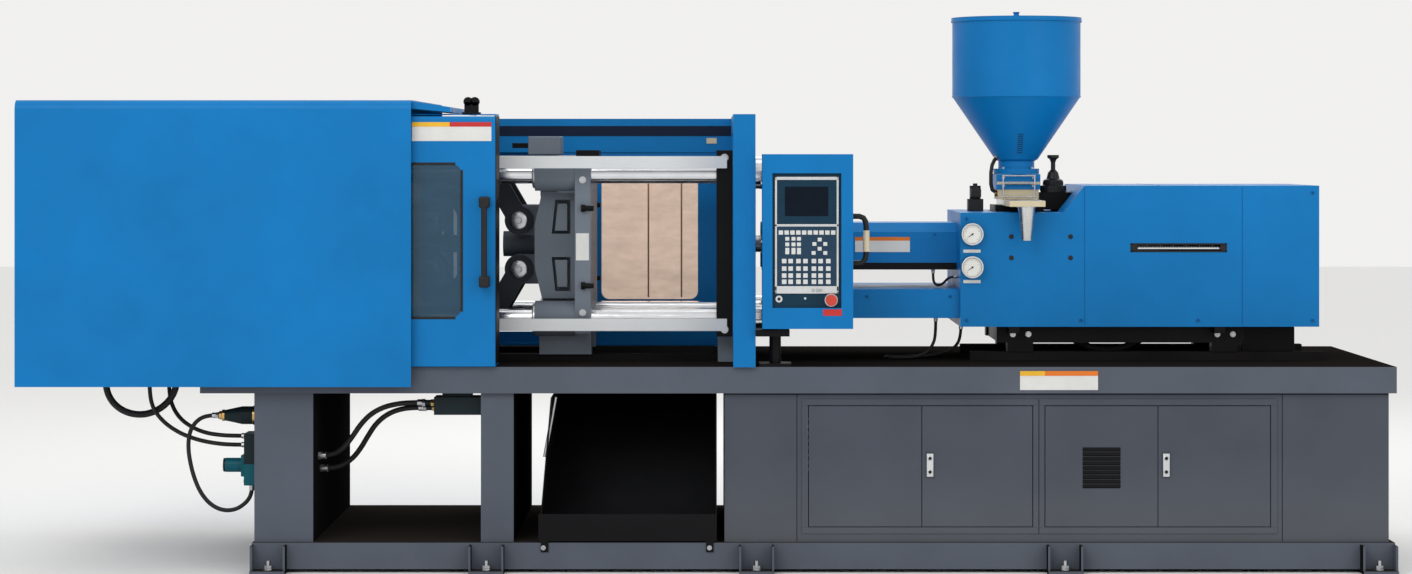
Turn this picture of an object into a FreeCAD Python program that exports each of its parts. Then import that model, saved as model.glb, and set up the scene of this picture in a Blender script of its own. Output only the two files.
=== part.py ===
# Horizontal toggle-type injection moulding machine, built as a parametric document.
# Frame: origin on the floor at the middle of the four corner anchor holes, +X along the
# machine towards the injection unit, +Y away from the operator, +Z up. Millimetres.
import FreeCAD, Part
import math
import os
import re
import Sketcher

Vector = FreeCAD.Vector
doc = FreeCAD.newDocument("moulding_machine")
sheet = doc.addObject("Spreadsheet::Sheet", "Sizes")

# ---------------------------------------------------------------- driving dimensions
SIZES = {
    # bed
    "foot_span": 4155, "bed_width": 1240, "beam_over": 66, "beam_high": 99, "beam_wide": 60,
    "foot_thick": 13, "foot_wide": 131, "foot_out": 70, "anchor_bore": 11, "anchor_out": 35,
    "gusset": 8, "gusset_out": 58, "gusset_high": 92, "rib_wide": 40, "rib_count": 10, "beam_mid": 190,
    "floor_thick": 6, "deck_top": 771, "deck_high": 99, "deck_plate": 20, "deck_wall": 30,
    "deck_left": -2338, "deck_right": 2150, "bed_inset": 20,
    "foot_b": -1261.9, "foot_c": -251.3, "foot_d": 901.9,
    "leg_a_left": -2137, "leg_a_right": -1916, "leg_b_left": -1286, "leg_b_right": -1163,
    "leg_wall": 8, "sheet_wall": 3,
    "drop_left": -1060, "drop_right": -410, "drop_half": 185, "lane_in": 200,
    "lane_out": 260, "well_left": -1565, "well_right": -1210, "well_deep": 14,
    # cabinet
    "cab_left": -371, "cab_right": 2124, "cab_wall": 5, "bay_low": 167.6, "bay_high": 625.5,
    "bay_a_left": -57, "bay_a_mid": 370, "bay_a_right": 788,
    "bay_b_left": 831, "bay_b_mid": 1257, "bay_b_right": 1681,
    "door_gap": 3, "door_proud": 2, "door_deep": 22, "door_sheet": 3, "hinge_in": 14,
    "hinge_back": 6, "pin_small": 3, "pin_long": 25, "boss_small": 6, "fit_gap": 0.05,
    "vent_left": 974, "vent_right": 1116, "vent_low": 314, "vent_high": 469, "vent_slots": 9,
    "latch_wide": 28, "latch_high": 95, "latch_low": 354, "latch_in": 18, "latch_proud": 4,
    # chute
    "chute_left": -1069, "chute_right": -400, "chute_low": 118, "chute_lip": 220,
    "chute_top": 655, "chute_lean": 46, "chute_sheet": 4, "chute_back": 540,
    "chute_rise": 600, "tab_wide": 28, "tab_low": 77,
    # clamp axis and platens
    "axis_high": 1215, "bar_half": 280, "bar_r": 40, "bar_left": -2320, "bar_right": -165,
    "nut_r": 62, "nut_long": 70, "platen_half_w": 350, "platen_half_h": 335,
    "fixed_face": -395, "fixed_thick": 145, "nozzle_bore": 50, "ring_bore": 62.5,
    "ring_deep": 30, "mould_face": -884, "mould_plate": 60, "rib_left": -1077,
    "rib_half_w": 232, "rib_half_h": 205, "bump_left": -1105, "boss_r": 68, "boss_left": -1100,
    "bolt_r": 8, "bolt_deep": 35, "bolt_far": 210, "bolt_near": 70,
    "tail_left": -1780, "tail_thick": 180,
    "way_half": 230, "way_wide": 70, "way_top": 796, "way_left": -2300, "way_right": -410,
    "slide_gap": 0.3, "pad_long": 200,
    # toggle
    "link_long": 350, "fold": 60, "cross_arm": 150, "pivot_half": 95, "tail_pivot": -1520,
    "link_r": 55, "ear_r": 58, "toggle_pin": 30, "cross_pin": 20, "cross_r": 38,
    "cross_in": 60, "cross_out": 90, "rear_in": 95, "rear_out": 130, "front_in": 135,
    "front_out": 170, "open_gap": 0.3, "link_waist": 40,
    "cross_half": 50, "cross_wide": 55, "rod_r": 35, "rod_bore": 45,
    "cyl_left": -2420, "cyl_r": 95, "cyl_bore": 70, "cap_thick": 40, "piston_x": -2100,
    "piston_long": 60,
    "eject_plate": 20, "eject_half_w": 130, "eject_half_h": 42, "eject_x": -1055,
    "eject_rod": 12, "eject_pitch": 100, "eject_piston": 20, "chamber_left": -1065,
    "chamber_half_w": 145, "chamber_half_h": 50, "eject_cyl": 50, "eject_cyl_left": -1240,
    "eject_tip": 5, "back_of_pad": -1084,
    # guards
    "cover_left": -3020, "cover_right": -1541, "cover_half": 680, "cover_low": 700,
    "cover_top": 1771, "cover_wall": 4, "visor_right": -1396, "visor_left": -1638,
    "visor_drop": 26, "visor_thick": 19, "cover_round": 35, "cover_fold": 40,
    "gate_right": -1229, "gate_long": 1300, "gate_front": -640, "gate_low": 774,
    "gate_top": 1720, "gate_wall": 4, "gate_deep": 190, "gate_fold": 80, "gate_round": 22,
    "pane_right": -1358, "pane_wide": 502, "pane_low": 959, "pane_high": 1530,
    "pane_lap": 20, "pane_thick": 5, "pane_round": 30,
    "grip_left": -1290.4, "grip_right": -1245.5, "grip_low": 1071.5, "grip_high": 1410.3,
    "grip_block": 37, "grip_out": 60, "grip_bar": 22,
    "rail_front": -430, "rail_thick": 20, "rail_high": 46, "rail_up": 1538,
    "rail_down": 918, "rail_left": -2330, "rail_right": -361, "rail_post": 40,
    "hanger_long": 62, "hanger_a": -2250, "hanger_b": -1336, "hanger_lap": 12,
    "post_left": -338, "post_right": -255, "post_top": 1719, "post_deep": 190,
    "post_wall": 6, "bridge_high": 70, "end_left": -400,
    "back_front": 600, "back_rear": 640, "back_top": 1714, "back_high": 30,
    "back_panel_low": 1560, "back_panel_high": 1645,
    "door_left": -1050, "door_right": -345, "door_low": 800, "door_high": 1600,
    "door_front": 606, "door_thick": 20, "view_left": -875, "view_right": -476,
    "view_low": 967, "view_high": 1500, "view_round": 33, "track_left": -1900,
    # control panel
    "box_left": -230, "box_right": 108, "box_low": 918, "box_high": 1569, "box_front": -700,
    "box_deep": 160, "box_wall": 3, "recess_left": -193, "recess_right": 64,
    "recess_low": 996, "recess_high": 1498, "recess_deep": 14,
    "stop_x": 26.5, "stop_z": 1025, "stop_r": 21, "stop_stem": 11,
    "stop_proud": 30, "stand_x": -180, "stand_y": -560, "stand_r": 22, "shelf_left": -254,
    "shelf_right": -128, "shelf_low": 888, "shelf_thick": 23.7, "stand_foot": 60,
    "stand_spigot": 12,
    # injection unit
    "hop_x": 783.7, "barrel_left": -150, "barrel_right": 880, "barrel_r": 60,
    "screw_r": 25, "nozzle_left": -362, "band_r": 74, "band_long": 120, "band_count": 4,
    "feed_left": 690, "feed_right": 880, "feed_half": 120, "feed_low": 1050,
    "feed_top": 1369, "feed_hole": 22,
    "runner_y": 230, "runner_half": 30, "runner_low": 840, "runner_high": 900,
    "runner_left": 682, "runner_right": 1640, "rail_top": 805, "rail_half": 24,
    "rail_in_left": 580, "rail_in_right": 1950, "foot_in_left": 724, "foot_in_right": 824,
    "foot_out_left": 1514, "foot_out_right": 1614, "case_bracket": 40, "hose_end": 1370,
    "inj_y": 170, "inj_r": 45, "inj_bore": 32, "inj_rod": 18, "inj_end": 1150,
    "inj_piston_x": 900, "inj_piston": 25, "thrust_left": 1180, "thrust_right": 1320,
    "thrust_half": 225, "thrust_high": 110, "motor_r": 105, "motor_long": 270,
    "shank_end": 1262,
    "case_left": 536.5, "case_right": 1915.7, "case_half": 330, "case_low": 905.3,
    "case_mid": 1343.8, "case_top": 1447.6, "case_ramp_a": 931.6, "case_ramp_b": 1013.9,
    "case_wall": 3, "slot_left": 1198, "slot_right": 1553, "slot_z": 1209, "slot_high": 23,
    "guard_left": -225, "lower_left": -150, "guard_half": 150, "guard_low": 1118, "guard_edge": 1265,
    "guard_top": 1300, "guard_flat": 105, "lower_half": 300, "lower_low": 937,
    "lower_top": 1048,
    "gauge_x": 580.7, "gauge_up": 1261.6, "gauge_down": 1134.8, "gauge_r": 42,
    "gauge_deep": 32,
    "hop_r": 254, "hop_rim": 2103, "hop_knee": 1794.5, "hop_neck_r": 84, "hop_neck": 1548,
    "hop_ring_r": 90, "hop_foot": 1490, "hop_wall": 2.5, "hop_mouth": 30, "lid_thick": 4,
    "lid_knob": 26, "seat_half": 85, "seat_low": 1430, "slab_low": 1391, "slab_half": 80,
    "gate_slot": 1452, "gate_sheet": 6, "gate_half": 50, "wire_r": 3, "wire_half": 62,
    "wire_low": 1402, "wire_high": 1484, "wire_y": -104,
    "track_half": 67, "track_back": 130, "track_front": -440, "drain_y": -400,
    "spout_top": 1369, "spout_low": 1239, "spout_r": 34, "spout_tip": 20, "spout_wall": 2,
    "knob_x": 929, "arm_low": 1350, "arm_top": 1418, "arm_right": 985, "arm_half": 45,
    "knob_stem": 8, "knob_deep": 30,
    # inside the cabinet and at the tail
    "rack_y": -300, "motor_x": 1330, "motor_z": 330, "motor_y": -120, "valve_right": -2137,
}

for line, (alias, number) in enumerate(SIZES.items(), start=1):
    sheet.set("A%d" % line, alias)
    sheet.set("B%d" % line, str(number))
    sheet.setAlias("B%d" % line, alias)
doc.recompute()

WORD = re.compile(r"[a-z][a-z_]*[a-z]|[a-z]")
NODES = {}


def formula(text):
    """The text with every alias spelled the way the document's expressions need it."""
    return WORD.sub(lambda m: "Sizes." + m.group() if m.group() in SIZES else m.group(), str(text))


def number(text):
    """What a formula comes to now."""
    found = sheet.evalExpression(formula(text))
    return float(getattr(found, "Value", found))


def bind(item, prop, text):
    item.setExpression(prop, formula(text))


def free_name(stem):
    return "%s_%d" % (stem, len(doc.Objects))


def move(item, x=0, y=0, z=0):
    for axis, text in zip("xyz", (x, y, z)):
        bind(item, ".Placement.Base." + axis, text)
    return item


def node(label, item):
    """Name a finished sub-part."""
    item.Label = label
    NODES[label] = item
    return item


# ---------------------------------------------------------------- primitives and booleans
def block(x, y, z, stem="block"):
    """A box between low and high formulas on each axis."""
    item = doc.addObject("Part::Box", free_name(stem))
    for prop, (low, high) in zip(("Length", "Width", "Height"), (x, y, z)):
        bind(item, prop, "(%s) - (%s)" % (high, low))
    return move(item, x[0], y[0], z[0])


TURN = {
    "x": FreeCAD.Rotation(Vector(0, 1, 0), 90),
    "y": FreeCAD.Rotation(Vector(1, 0, 0), -90),
    "z": FreeCAD.Rotation(),
}


def rod(axis, radius, centre, low, high):
    """A cylinder along an axis, between low and high on that axis."""
    item = doc.addObject("Part::Cylinder", free_name("rod"))
    item.Placement = FreeCAD.Placement(Vector(), TURN[axis])
    bind(item, "Radius", radius)
    bind(item, "Height", "(%s) - (%s)" % (high, low))
    place = {"x": (low, *centre), "y": (centre[0], low, centre[1]), "z": (*centre, low)}
    return move(item, *place[axis])


def taper(axis, radius_low, radius_high, centre, low, high):
    """A cone along an axis."""
    item = doc.addObject("Part::Cone", free_name("taper"))
    item.Placement = FreeCAD.Placement(Vector(), TURN[axis])
    bind(item, "Radius1", radius_low)
    bind(item, "Radius2", radius_high)
    bind(item, "Height", "(%s) - (%s)" % (high, low))
    place = {"x": (low, *centre), "y": (centre[0], low, centre[1]), "z": (*centre, low)}
    return move(item, *place[axis])


def fuse(*items):
    if len(items) == 1:
        return items[0]
    item = doc.addObject("Part::MultiFuse", free_name("fuse"))
    item.Shapes = list(items)
    item.Refine = True
    return item


def cut(base, *tools):
    item = doc.addObject("Part::Cut", free_name("cut"))
    item.Base = base
    item.Tool = fuse(*tools)
    item.Refine = True
    return item


def group(*items):
    """Separate solids that share one node."""
    item = doc.addObject("Part::Compound", free_name("group"))
    item.Links = list(items)
    return item


def rounded(item, radius, wanted):
    """Round the straight edges that wanted(edge) picks."""
    doc.recompute()
    picked = [i for i, edge in enumerate(item.Shape.Edges, start=1) if wanted(edge)]
    size = number(radius)
    result = doc.addObject("Part::Fillet", free_name("round"))
    result.Base = item
    result.Edges = [(i, size, size) for i in picked]
    return result


# ---------------------------------------------------------------- bodies with sketches
def new_body(stem):
    body = doc.addObject("PartDesign::Body", free_name(stem))
    doc.recompute()
    return body


def new_sketch(body, plane, outline=(), circles=(), offset="0"):
    """A sketch on an origin plane; corners and circles are tied to the sheet."""
    sketch = body.newObject("Sketcher::SketchObject", free_name("sketch"))
    face = [f for f in body.Origin.OriginFeatures if f.Role == plane + "_Plane"][0]
    sketch.AttachmentSupport = [(face, "")]
    sketch.MapMode = "FlatFace"
    bind(sketch, ".AttachmentOffset.Base.z", offset)
    spots = [(number(x), number(y)) for x, y in outline]
    for i, (x, y) in enumerate(spots):
        after = spots[(i + 1) % len(spots)]
        sketch.addGeometry(Part.LineSegment(Vector(x, y, 0), Vector(*after, 0)), False)
    for i in range(len(spots)):
        sketch.addConstraint(Sketcher.Constraint("Coincident", i, 2, (i + 1) % len(spots), 1))
    for i, corner in enumerate(outline):
        tie(sketch, i, 1, corner, spots[i])
    for x, y, radius in circles:
        spot = (number(x), number(y))
        size = number(radius)
        i = sketch.addGeometry(Part.Circle(Vector(*spot, 0), Vector(0, 0, 1), size), False)
        tie(sketch, i, 3, (x, y), spot)
        c = sketch.addConstraint(Sketcher.Constraint("Radius", i, size))
        sketch.renameConstraint(c, "radius%d" % i)
        bind(sketch, "Constraints.radius%d" % i, radius)
    return sketch


def tie(sketch, geometry, vertex, formulas, spot):
    """Hold a point at two formulas from the sketch's origin."""
    for kind, text, size in zip(("DistanceX", "DistanceY"), formulas, spot):
        c = sketch.addConstraint(Sketcher.Constraint(kind, -1, 1, geometry, vertex, size))
        name = "%s%d" % (kind, geometry)
        sketch.renameConstraint(c, name)
        bind(sketch, "Constraints." + name, text)


def pad(body, sketch, length, reverse=False):
    feature = body.newObject("PartDesign::Pad", free_name("pad"))
    feature.Profile = sketch
    bind(feature, "Length", length)
    feature.Reversed = reverse
    doc.recompute()
    return feature


def pocket(body, sketch, length, reverse=False):
    before = body.Shape.Volume
    feature = body.newObject("PartDesign::Pocket", free_name("pocket"))
    feature.Profile = sketch
    bind(feature, "Length", length)
    feature.Reversed = reverse
    doc.recompute()
    if body.Shape.Volume >= before:
        raise ValueError("a pocket in %s cuts nothing" % body.Name)
    return feature


def turned(stem, profile, x, y):
    """A solid turned about a vertical axis from an outline of radius and height."""
    body = new_body(stem)
    sketch = new_sketch(body, "XZ", profile)
    feature = body.newObject("PartDesign::Revolution", free_name("turn"))
    feature.Profile = sketch
    feature.ReferenceAxis = (sketch, ["V_Axis"])
    feature.Angle = 360
    doc.recompute()
    return move(body, x, y, 0)


def extruded(stem, plane, outline, low, high):
    """An outline on a plane, padded from low to high along the plane's own axis."""
    body = new_body(stem)
    if plane == "XZ":
        sketch = new_sketch(body, plane, outline, offset="-(%s)" % high)
    else:
        sketch = new_sketch(body, plane, outline, offset=low)
    pad(body, sketch, "(%s) - (%s)" % (high, low))
    return body


def both(text):
    """The pair of formulas minus and plus text."""
    return ("-(%s)" % text, text)


def plus(first, second):
    return "(%s) + (%s)" % (first, second)


def minus(first, second):
    return "(%s) - (%s)" % (first, second)


FOOT_X = ("-foot_span / 2", "foot_b", "foot_c", "foot_d", "foot_span / 2")
SIDES = (-1, 1)
HALF = "bed_width / 2"


# ---------------------------------------------------------------- bed
def base_frame():
    """Welded base: side beams, cross ribs, floor, two full-depth legs, ten feet."""
    low, high = "foot_thick", "foot_thick + beam_high"
    left, right = "-foot_span / 2 - beam_over", "foot_span / 2 + beam_over"
    parts = [block((left, right), (HALF + " - beam_wide", HALF), (low, high)),
             block((left, right), ("-" + HALF, "-" + HALF + " + beam_wide"), (low, high)),
             block((left, right), both(HALF + " - beam_wide"), (high + " - floor_thick", high))]
    for i in range(int(SIZES["rib_count"]) + 1):
        start = "%s + %d * (foot_span + 2 * beam_over - rib_wide) / rib_count" % (left, i)
        parts.append(block((start, start + " + rib_wide"), both(HALF + " - beam_wide"),
                           (low, high)))
    for side in SIDES:
        middle = "%d * beam_mid" % side
        parts.append(block((left, right), (middle + " - rib_wide / 2", middle + " + rib_wide / 2"),
                           (low, high)))
    legs = (("leg_a_left", "leg_a_right"), ("leg_b_left", "leg_b_right"))
    deck_under = "deck_top - deck_high"
    for leg_left, leg_right in legs:
        parts.append(block((leg_left, leg_right), both(HALF + " - bed_inset"),
                           (high, deck_under)))
    holes = []
    for x in FOOT_X:
        span = (x + " - foot_wide / 2", x + " + foot_wide / 2")
        for side in SIDES:
            edge = "%d * (%s)" % (side, HALF)
            outer = "%s + %d * foot_out" % (edge, side)
            inner = "%s - %d * beam_wide" % (edge, side)
            y = (outer, inner) if side < 0 else (inner, outer)
            parts.append(block(span, y, ("0", "foot_thick")))
            tip = "%s + %d * gusset_out" % (edge, side)
            y = (tip, edge) if side < 0 else (edge, tip)
            for start in (span[0], span[1] + " - gusset"):
                parts.append(block((start, start + " + gusset"), y,
                                   ("foot_thick", "foot_thick + gusset_high")))
            holes.append(rod("z", "anchor_bore", (x, "%s + %d * anchor_out" % (edge, side)),
                             "-1", "foot_thick + 1"))
    for leg_left, leg_right in legs:
        holes.append(block((leg_left + " + leg_wall", leg_right + " - leg_wall"),
                           both(HALF + " - bed_inset - leg_wall"), (high, deck_under)))
    node("base_frame", cut(fuse(*parts), *holes))


def bed_deck():
    """Machined deck plate on its welded rim and ribs, with the drop opening and toggle well."""
    low, plate = "deck_top - deck_high", "deck_top - deck_plate"
    body = new_body("deck")
    rim = new_sketch(body, "XY", [("deck_left", "-" + HALF), ("deck_right", "-" + HALF),
                                  ("deck_right", HALF), ("deck_left", HALF)], offset=low)
    pad(body, rim, "deck_high")
    drop = new_sketch(body, "XY", [("drop_left", "-drop_half"), ("drop_right", "-drop_half"),
                                   ("drop_right", "drop_half"), ("drop_left", "drop_half")],
                      offset="deck_top")
    pocket(body, drop, "deck_high + 1")
    well = new_sketch(body, "XY", [("well_left", "-drop_half"), ("well_right", "-drop_half"),
                                   ("well_right", "drop_half"), ("well_left", "drop_half")],
                      offset="deck_top")
    pocket(body, well, "well_deep")
    stops = ["deck_left", "leg_a_left", "leg_a_right", "(leg_a_right + leg_b_left) / 2",
             "leg_b_left", "drop_left", "(drop_left + drop_right) / 2", "drop_right",
             "cab_left + 500", "cab_left + 1000", "cab_left + 1500", "cab_left + 2000",
             "deck_right"]
    rim_y = HALF + " - deck_wall"
    lanes = [("-(%s)" % rim_y, "-lane_out"), ("-lane_in", "lane_in"), ("lane_out", rim_y)]
    hollows = []
    for before, after in zip(stops, stops[1:]):
        for lane in lanes:
            if lane[0] == "-lane_in" and before == "(drop_left + drop_right) / 2":
                continue
            if lane[0] == "-lane_in" and before == "drop_left":
                continue
            hollows.append(block((before + " + deck_wall / 2", after + " - deck_wall / 2"),
                                 lane, (low + " - 1", plate)))
    node("bed_deck", cut(body, *hollows))


def cabinet_shell():
    """Closed sheet cabinet under the injection unit with two door bays and hinge pins."""
    low, high = "foot_thick + beam_high", "deck_top - deck_high"
    face = HALF + " - bed_inset"
    shell = block(("cab_left", "cab_right"), both(face), (low, high))
    inside = block(("cab_left + cab_wall", "cab_right - cab_wall"),
                   both(face + " - cab_wall"), (low + " + cab_wall", high + " + 1"))
    bays = [block((a, b), ("-(%s) - 1" % face, "-(%s) + cab_wall + 1" % face),
                  ("bay_low", "bay_high"))
            for a, b in (("bay_a_left", "bay_a_right"), ("bay_b_left", "bay_b_right"))]
    grille = [block(("cab_left + 300 + %d * 160" % i, "cab_left + 420 + %d * 160" % i),
                    (face + " - cab_wall - 1", face + " + 1"),
                    ("bay_low + 30 * %d + 90" % j, "bay_low + 30 * %d + 98" % j))
              for i in range(3) for j in range(8)]
    walls = cut(shell, inside, *bays, *grille)
    y = "-(%s) - door_proud + hinge_back" % face
    pins = []
    for edge, side in (("bay_a_left", 1), ("bay_a_right", -1), ("bay_b_left", 1),
                       ("bay_b_right", -1)):
        x = "%s + %d * hinge_in" % (edge, side)
        pins.append(rod("z", "pin_small", (x, y), "bay_low - 6", "bay_low + pin_long"))
        pins.append(rod("z", "pin_small", (x, y), "bay_high - pin_long", "bay_high + 6"))
    middle = "bay_a_right / 2 + bay_b_left / 2"
    wall = block((middle + " - cab_wall / 2", middle + " + cab_wall / 2"),
                 both(face + " - cab_wall"), (low + " + cab_wall", high))
    node("cabinet_shell", fuse(walls, wall, *pins))


def door(label, left, right, hinge_side, latch=False, vent=False):
    """A folded pan door with a pin boss along its hinge edge."""
    face = "-(%s) + bed_inset - door_proud" % HALF
    x = (left + " + door_gap", right + " - door_gap")
    z = ("bay_low + door_gap", "bay_high - door_gap")
    pan = block(x, (face, face + " + door_deep"), z)
    hollow = block((x[0] + " + door_sheet", x[1] + " - door_sheet"),
                   (face + " + door_sheet", face + " + door_deep + 1"),
                   (z[0] + " + door_sheet", z[1] + " - door_sheet"))
    edge = left if hinge_side < 0 else right
    pin = ("%s + %d * hinge_in" % (edge, -hinge_side), face + " + hinge_back")
    boss = rod("z", "boss_small", pin, *z)
    holes = [rod("z", "pin_small + fit_gap", pin, z[0] + " - 1", "bay_low + pin_long + 1"),
             rod("z", "pin_small + fit_gap", pin, "bay_high - pin_long - 1", z[1] + " + 1")]
    if vent:
        pitch = "(vent_high - vent_low) / vent_slots"
        for i in range(int(SIZES["vent_slots"])):
            start = "vent_low + %d * %s" % (i, pitch)
            holes.append(block(("vent_left", "vent_right"), (face + " - 1", face + " + 8"),
                               (start, start + " + 0.5 * " + pitch)))
    parts = [cut(fuse(cut(pan, hollow), boss), *holes)]
    if latch:
        free = "%s + %d * latch_in" % (left if hinge_side > 0 else right, hinge_side)
        side = (free, free + " + latch_wide")
        if hinge_side < 0:
            side = (free + " - latch_wide", free)
        room = (side, (face + " - latch_proud", face + " + door_deep - 4"),
                ("latch_low", "latch_low + latch_high"))
        parts = [cut(parts[0], block(*room)), block(*room)]
    node(label, group(*parts))


def chute():
    """Sheet funnel that carries parts from under the mould to the front."""
    front, back = "-" + HALF, "chute_back"
    slope = extruded("slope", "YZ", [
        (front, "chute_low"), (back, "chute_rise"), (back, "chute_rise + chute_sheet"),
        (front, "chute_low + chute_sheet")], "chute_left", "chute_right")
    left = extruded("side", "XZ", [
        ("chute_left", "chute_low"), ("chute_left + chute_sheet", "chute_low"),
        ("chute_left + chute_lean + chute_sheet", "chute_top"),
        ("chute_left + chute_lean", "chute_top")], front, back)
    right = block(("chute_right - chute_sheet", "chute_right"), (front, back),
                  ("chute_low", "chute_top"))
    rear = block(("chute_left + chute_lean - chute_sheet", "chute_right"),
                 (back + " - chute_sheet", back), ("chute_rise", "chute_top"))
    lip = block(("chute_left", "chute_right"), (front + " - chute_sheet", front),
                ("chute_low", "chute_lip"))
    tabs = [block((x, x + " + tab_wide"), (front + " - chute_sheet", front),
                  ("tab_low", "chute_lip"))
            for x in ("chute_left + 10", "chute_right - 40")]
    node("chute", fuse(slope, left, right, rear, lip, *tabs))


# ---------------------------------------------------------------- clamp unit
def platen_holes(face, deep):
    """The mould-bolt holes of one platen, drilled along X from its face."""
    spots = [(a, b) for a in SIDES for b in SIDES]
    holes = []
    for a, b in spots:
        for y, z in (("bolt_far", "bolt_far"), ("bolt_near", "bolt_far"),
                     ("bolt_far", "bolt_near")):
            low, high = (face, plus(face, deep)) if deep[0] != "-" else (plus(face, deep), face)
            holes.append(rod("x", "bolt_r", ("%d * %s" % (a, y), "axis_high + %d * %s" % (b, z)),
                             low, high))
    return holes


def bar_bores(radius, low, high):
    return [rod("x", radius, ("%d * bar_half" % a, "axis_high + %d * bar_half" % b), low, high)
            for a in SIDES for b in SIDES]


def fixed_platen():
    """Cast fixed platen: tie-bar bores, locating bore, nozzle opening, two feet."""
    body = new_body("fixed")
    low, high = "axis_high - platen_half_h", "axis_high + platen_half_h"
    outline = [("-platen_half_w", low), ("platen_half_w", low), ("platen_half_w", high),
               ("-platen_half_w", high)]
    bars = [("%d * bar_half" % a, "axis_high + %d * bar_half" % b, "bar_r")
            for a in SIDES for b in SIDES]
    pad(body, new_sketch(body, "YZ", outline, bars, offset="fixed_face"), "fixed_thick")
    ring = new_sketch(body, "YZ", circles=[("0", "axis_high", "ring_bore")],
                      offset="fixed_face")
    pocket(body, ring, "ring_deep", reverse=True)
    nozzle = new_sketch(body, "YZ", circles=[("0", "axis_high", "nozzle_bore")],
                        offset="fixed_face")
    pocket(body, nozzle, "fixed_thick", reverse=True)
    feet = [block(("fixed_face", "fixed_face + fixed_thick"),
                  (a, b), ("deck_top", low))
            for a, b in (("-platen_half_w + 20", "-150"), ("150", "platen_half_w - 20"))]
    node("fixed_platen", cut(fuse(body, *feet), *platen_holes("fixed_face", "bolt_deep")))


def tie_bars():
    """Four tie bars and the nuts behind the fixed platen."""
    back = "fixed_face + fixed_thick"
    bars = bar_bores("bar_r", "bar_left", "bar_right")
    nuts = [cut(rod("x", "nut_r", ("%d * bar_half" % a, "axis_high + %d * bar_half" % b),
                    back, back + " + nut_long"),
                rod("x", "bar_r", ("%d * bar_half" % a, "axis_high + %d * bar_half" % b),
                    back + " - 1", back + " + nut_long + 1"))
            for a in SIDES for b in SIDES]
    node("tie_bars", group(*bars, *nuts))


def guide_ways():
    """Hardened slide ways for the platens and the round-edged rails of the carriage."""
    ways = [block(("way_left", "way_right"),
                  ("%d * way_half - way_wide / 2" % a, "%d * way_half + way_wide / 2" % a),
                  ("deck_top", "way_top")) for a in SIDES]
    rails = [block(("rail_in_left", "rail_in_right"),
                   ("%d * runner_y - rail_half" % a, "%d * runner_y + rail_half" % a),
                   ("deck_top", "rail_top")) for a in SIDES]
    node("guide_ways", group(*ways, *rails))


def ears(pivot_x, body_x, inner, outer, bore):
    """Two pairs of pivot ears from a platen towards the toggle, bores not yet cut."""
    parts, holes = [], []
    low, high = (pivot_x, body_x) if number(pivot_x) < number(body_x) else (body_x, pivot_x)
    for a in SIDES:
        y = (inner, outer) if a > 0 else ("-" + outer, "-" + inner)
        for b in SIDES:
            z = "axis_high + %d * pivot_half" % b
            parts.append(block((low, high), y, (z + " - ear_r", z + " + ear_r")))
            parts.append(rod("y", "ear_r", (pivot_x, z), *y))
    for b in SIDES:
        holes.append(rod("y", bore[b], (pivot_x, "axis_high + %d * pivot_half" % b),
                         "-%s - 1" % outer, outer + " + 1"))
    return parts, holes


def tail_platen():
    """Cast tail platen with toggle ears, slide feet and its four adjusting nuts."""
    right = "tail_left + tail_thick"
    plate = block(("tail_left", right), both("platen_half_w"),
                  ("axis_high - platen_half_h", "axis_high + platen_half_h"))
    running = "toggle_pin + fit_gap"
    parts, holes = ears("tail_pivot", right, "front_in", "front_out", {-1: running, 1: running})
    feet = [block(("tail_left", right), ("%d * way_half - 50" % a, "%d * way_half + 50" % a),
                  ("way_top + slide_gap", "axis_high - platen_half_h")) for a in SIDES]
    holes += bar_bores("bar_r + fit_gap", "tail_left - 1", right + " + 1")
    holes.append(rod("x", "rod_bore", ("0", "axis_high"), "tail_left - 1", right + " + 1"))
    nuts = [cut(rod("x", "nut_r", ("%d * bar_half" % a, "axis_high + %d * bar_half" % b),
                    "tail_left - nut_long", "tail_left"),
                rod("x", "bar_r + fit_gap",
                    ("%d * bar_half" % a, "axis_high + %d * bar_half" % b),
                    "tail_left - nut_long - 1", "tail_left + 1"))
            for a in SIDES for b in SIDES]
    node("tail_platen", group(cut(fuse(plate, *feet, *parts), *holes), *nuts))


def clamp_cylinder():
    """Hydraulic cylinder behind the tail platen."""
    at = ("0", "axis_high")
    tube = fuse(rod("x", "cyl_r", at, "cyl_left", "tail_left"),
                block(("tail_left - cap_thick", "tail_left"), both("cyl_r + 25"),
                      ("axis_high - cyl_r - 25", "axis_high + cyl_r + 25")))
    node("clamp_cylinder", cut(
        tube,
        rod("x", "cyl_bore", at, "cyl_left + cap_thick", "tail_left - cap_thick"),
        rod("x", "rod_r + fit_gap", at, "tail_left - cap_thick - 1", "tail_left + 1")))


def crosshead():
    """Crosshead block with its piston rod and piston."""
    x = "tail_pivot + 2 * cross_arm * cos(fold)"
    high = "pivot_half + cross_r"
    head = block((x + " - cross_half", x + " + cross_half"), both("cross_wide"),
                 ("axis_high - " + high.replace("+", "-"), "axis_high + " + high))
    bore = {-1: "cross_pin + open_gap", 1: "cross_pin + fit_gap"}
    holes = [rod("y", bore[b], (x, "axis_high + %d * pivot_half" % b),
                 "-cross_wide - 1", "cross_wide + 1") for b in SIDES]
    shaft = rod("x", "rod_r", ("0", "axis_high"), "piston_x", x)
    piston = rod("x", "cyl_bore - fit_gap", ("0", "axis_high"), "piston_x - piston_long",
                 "piston_x")
    node("crosshead", cut(fuse(head, shaft, piston), *holes))


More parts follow.
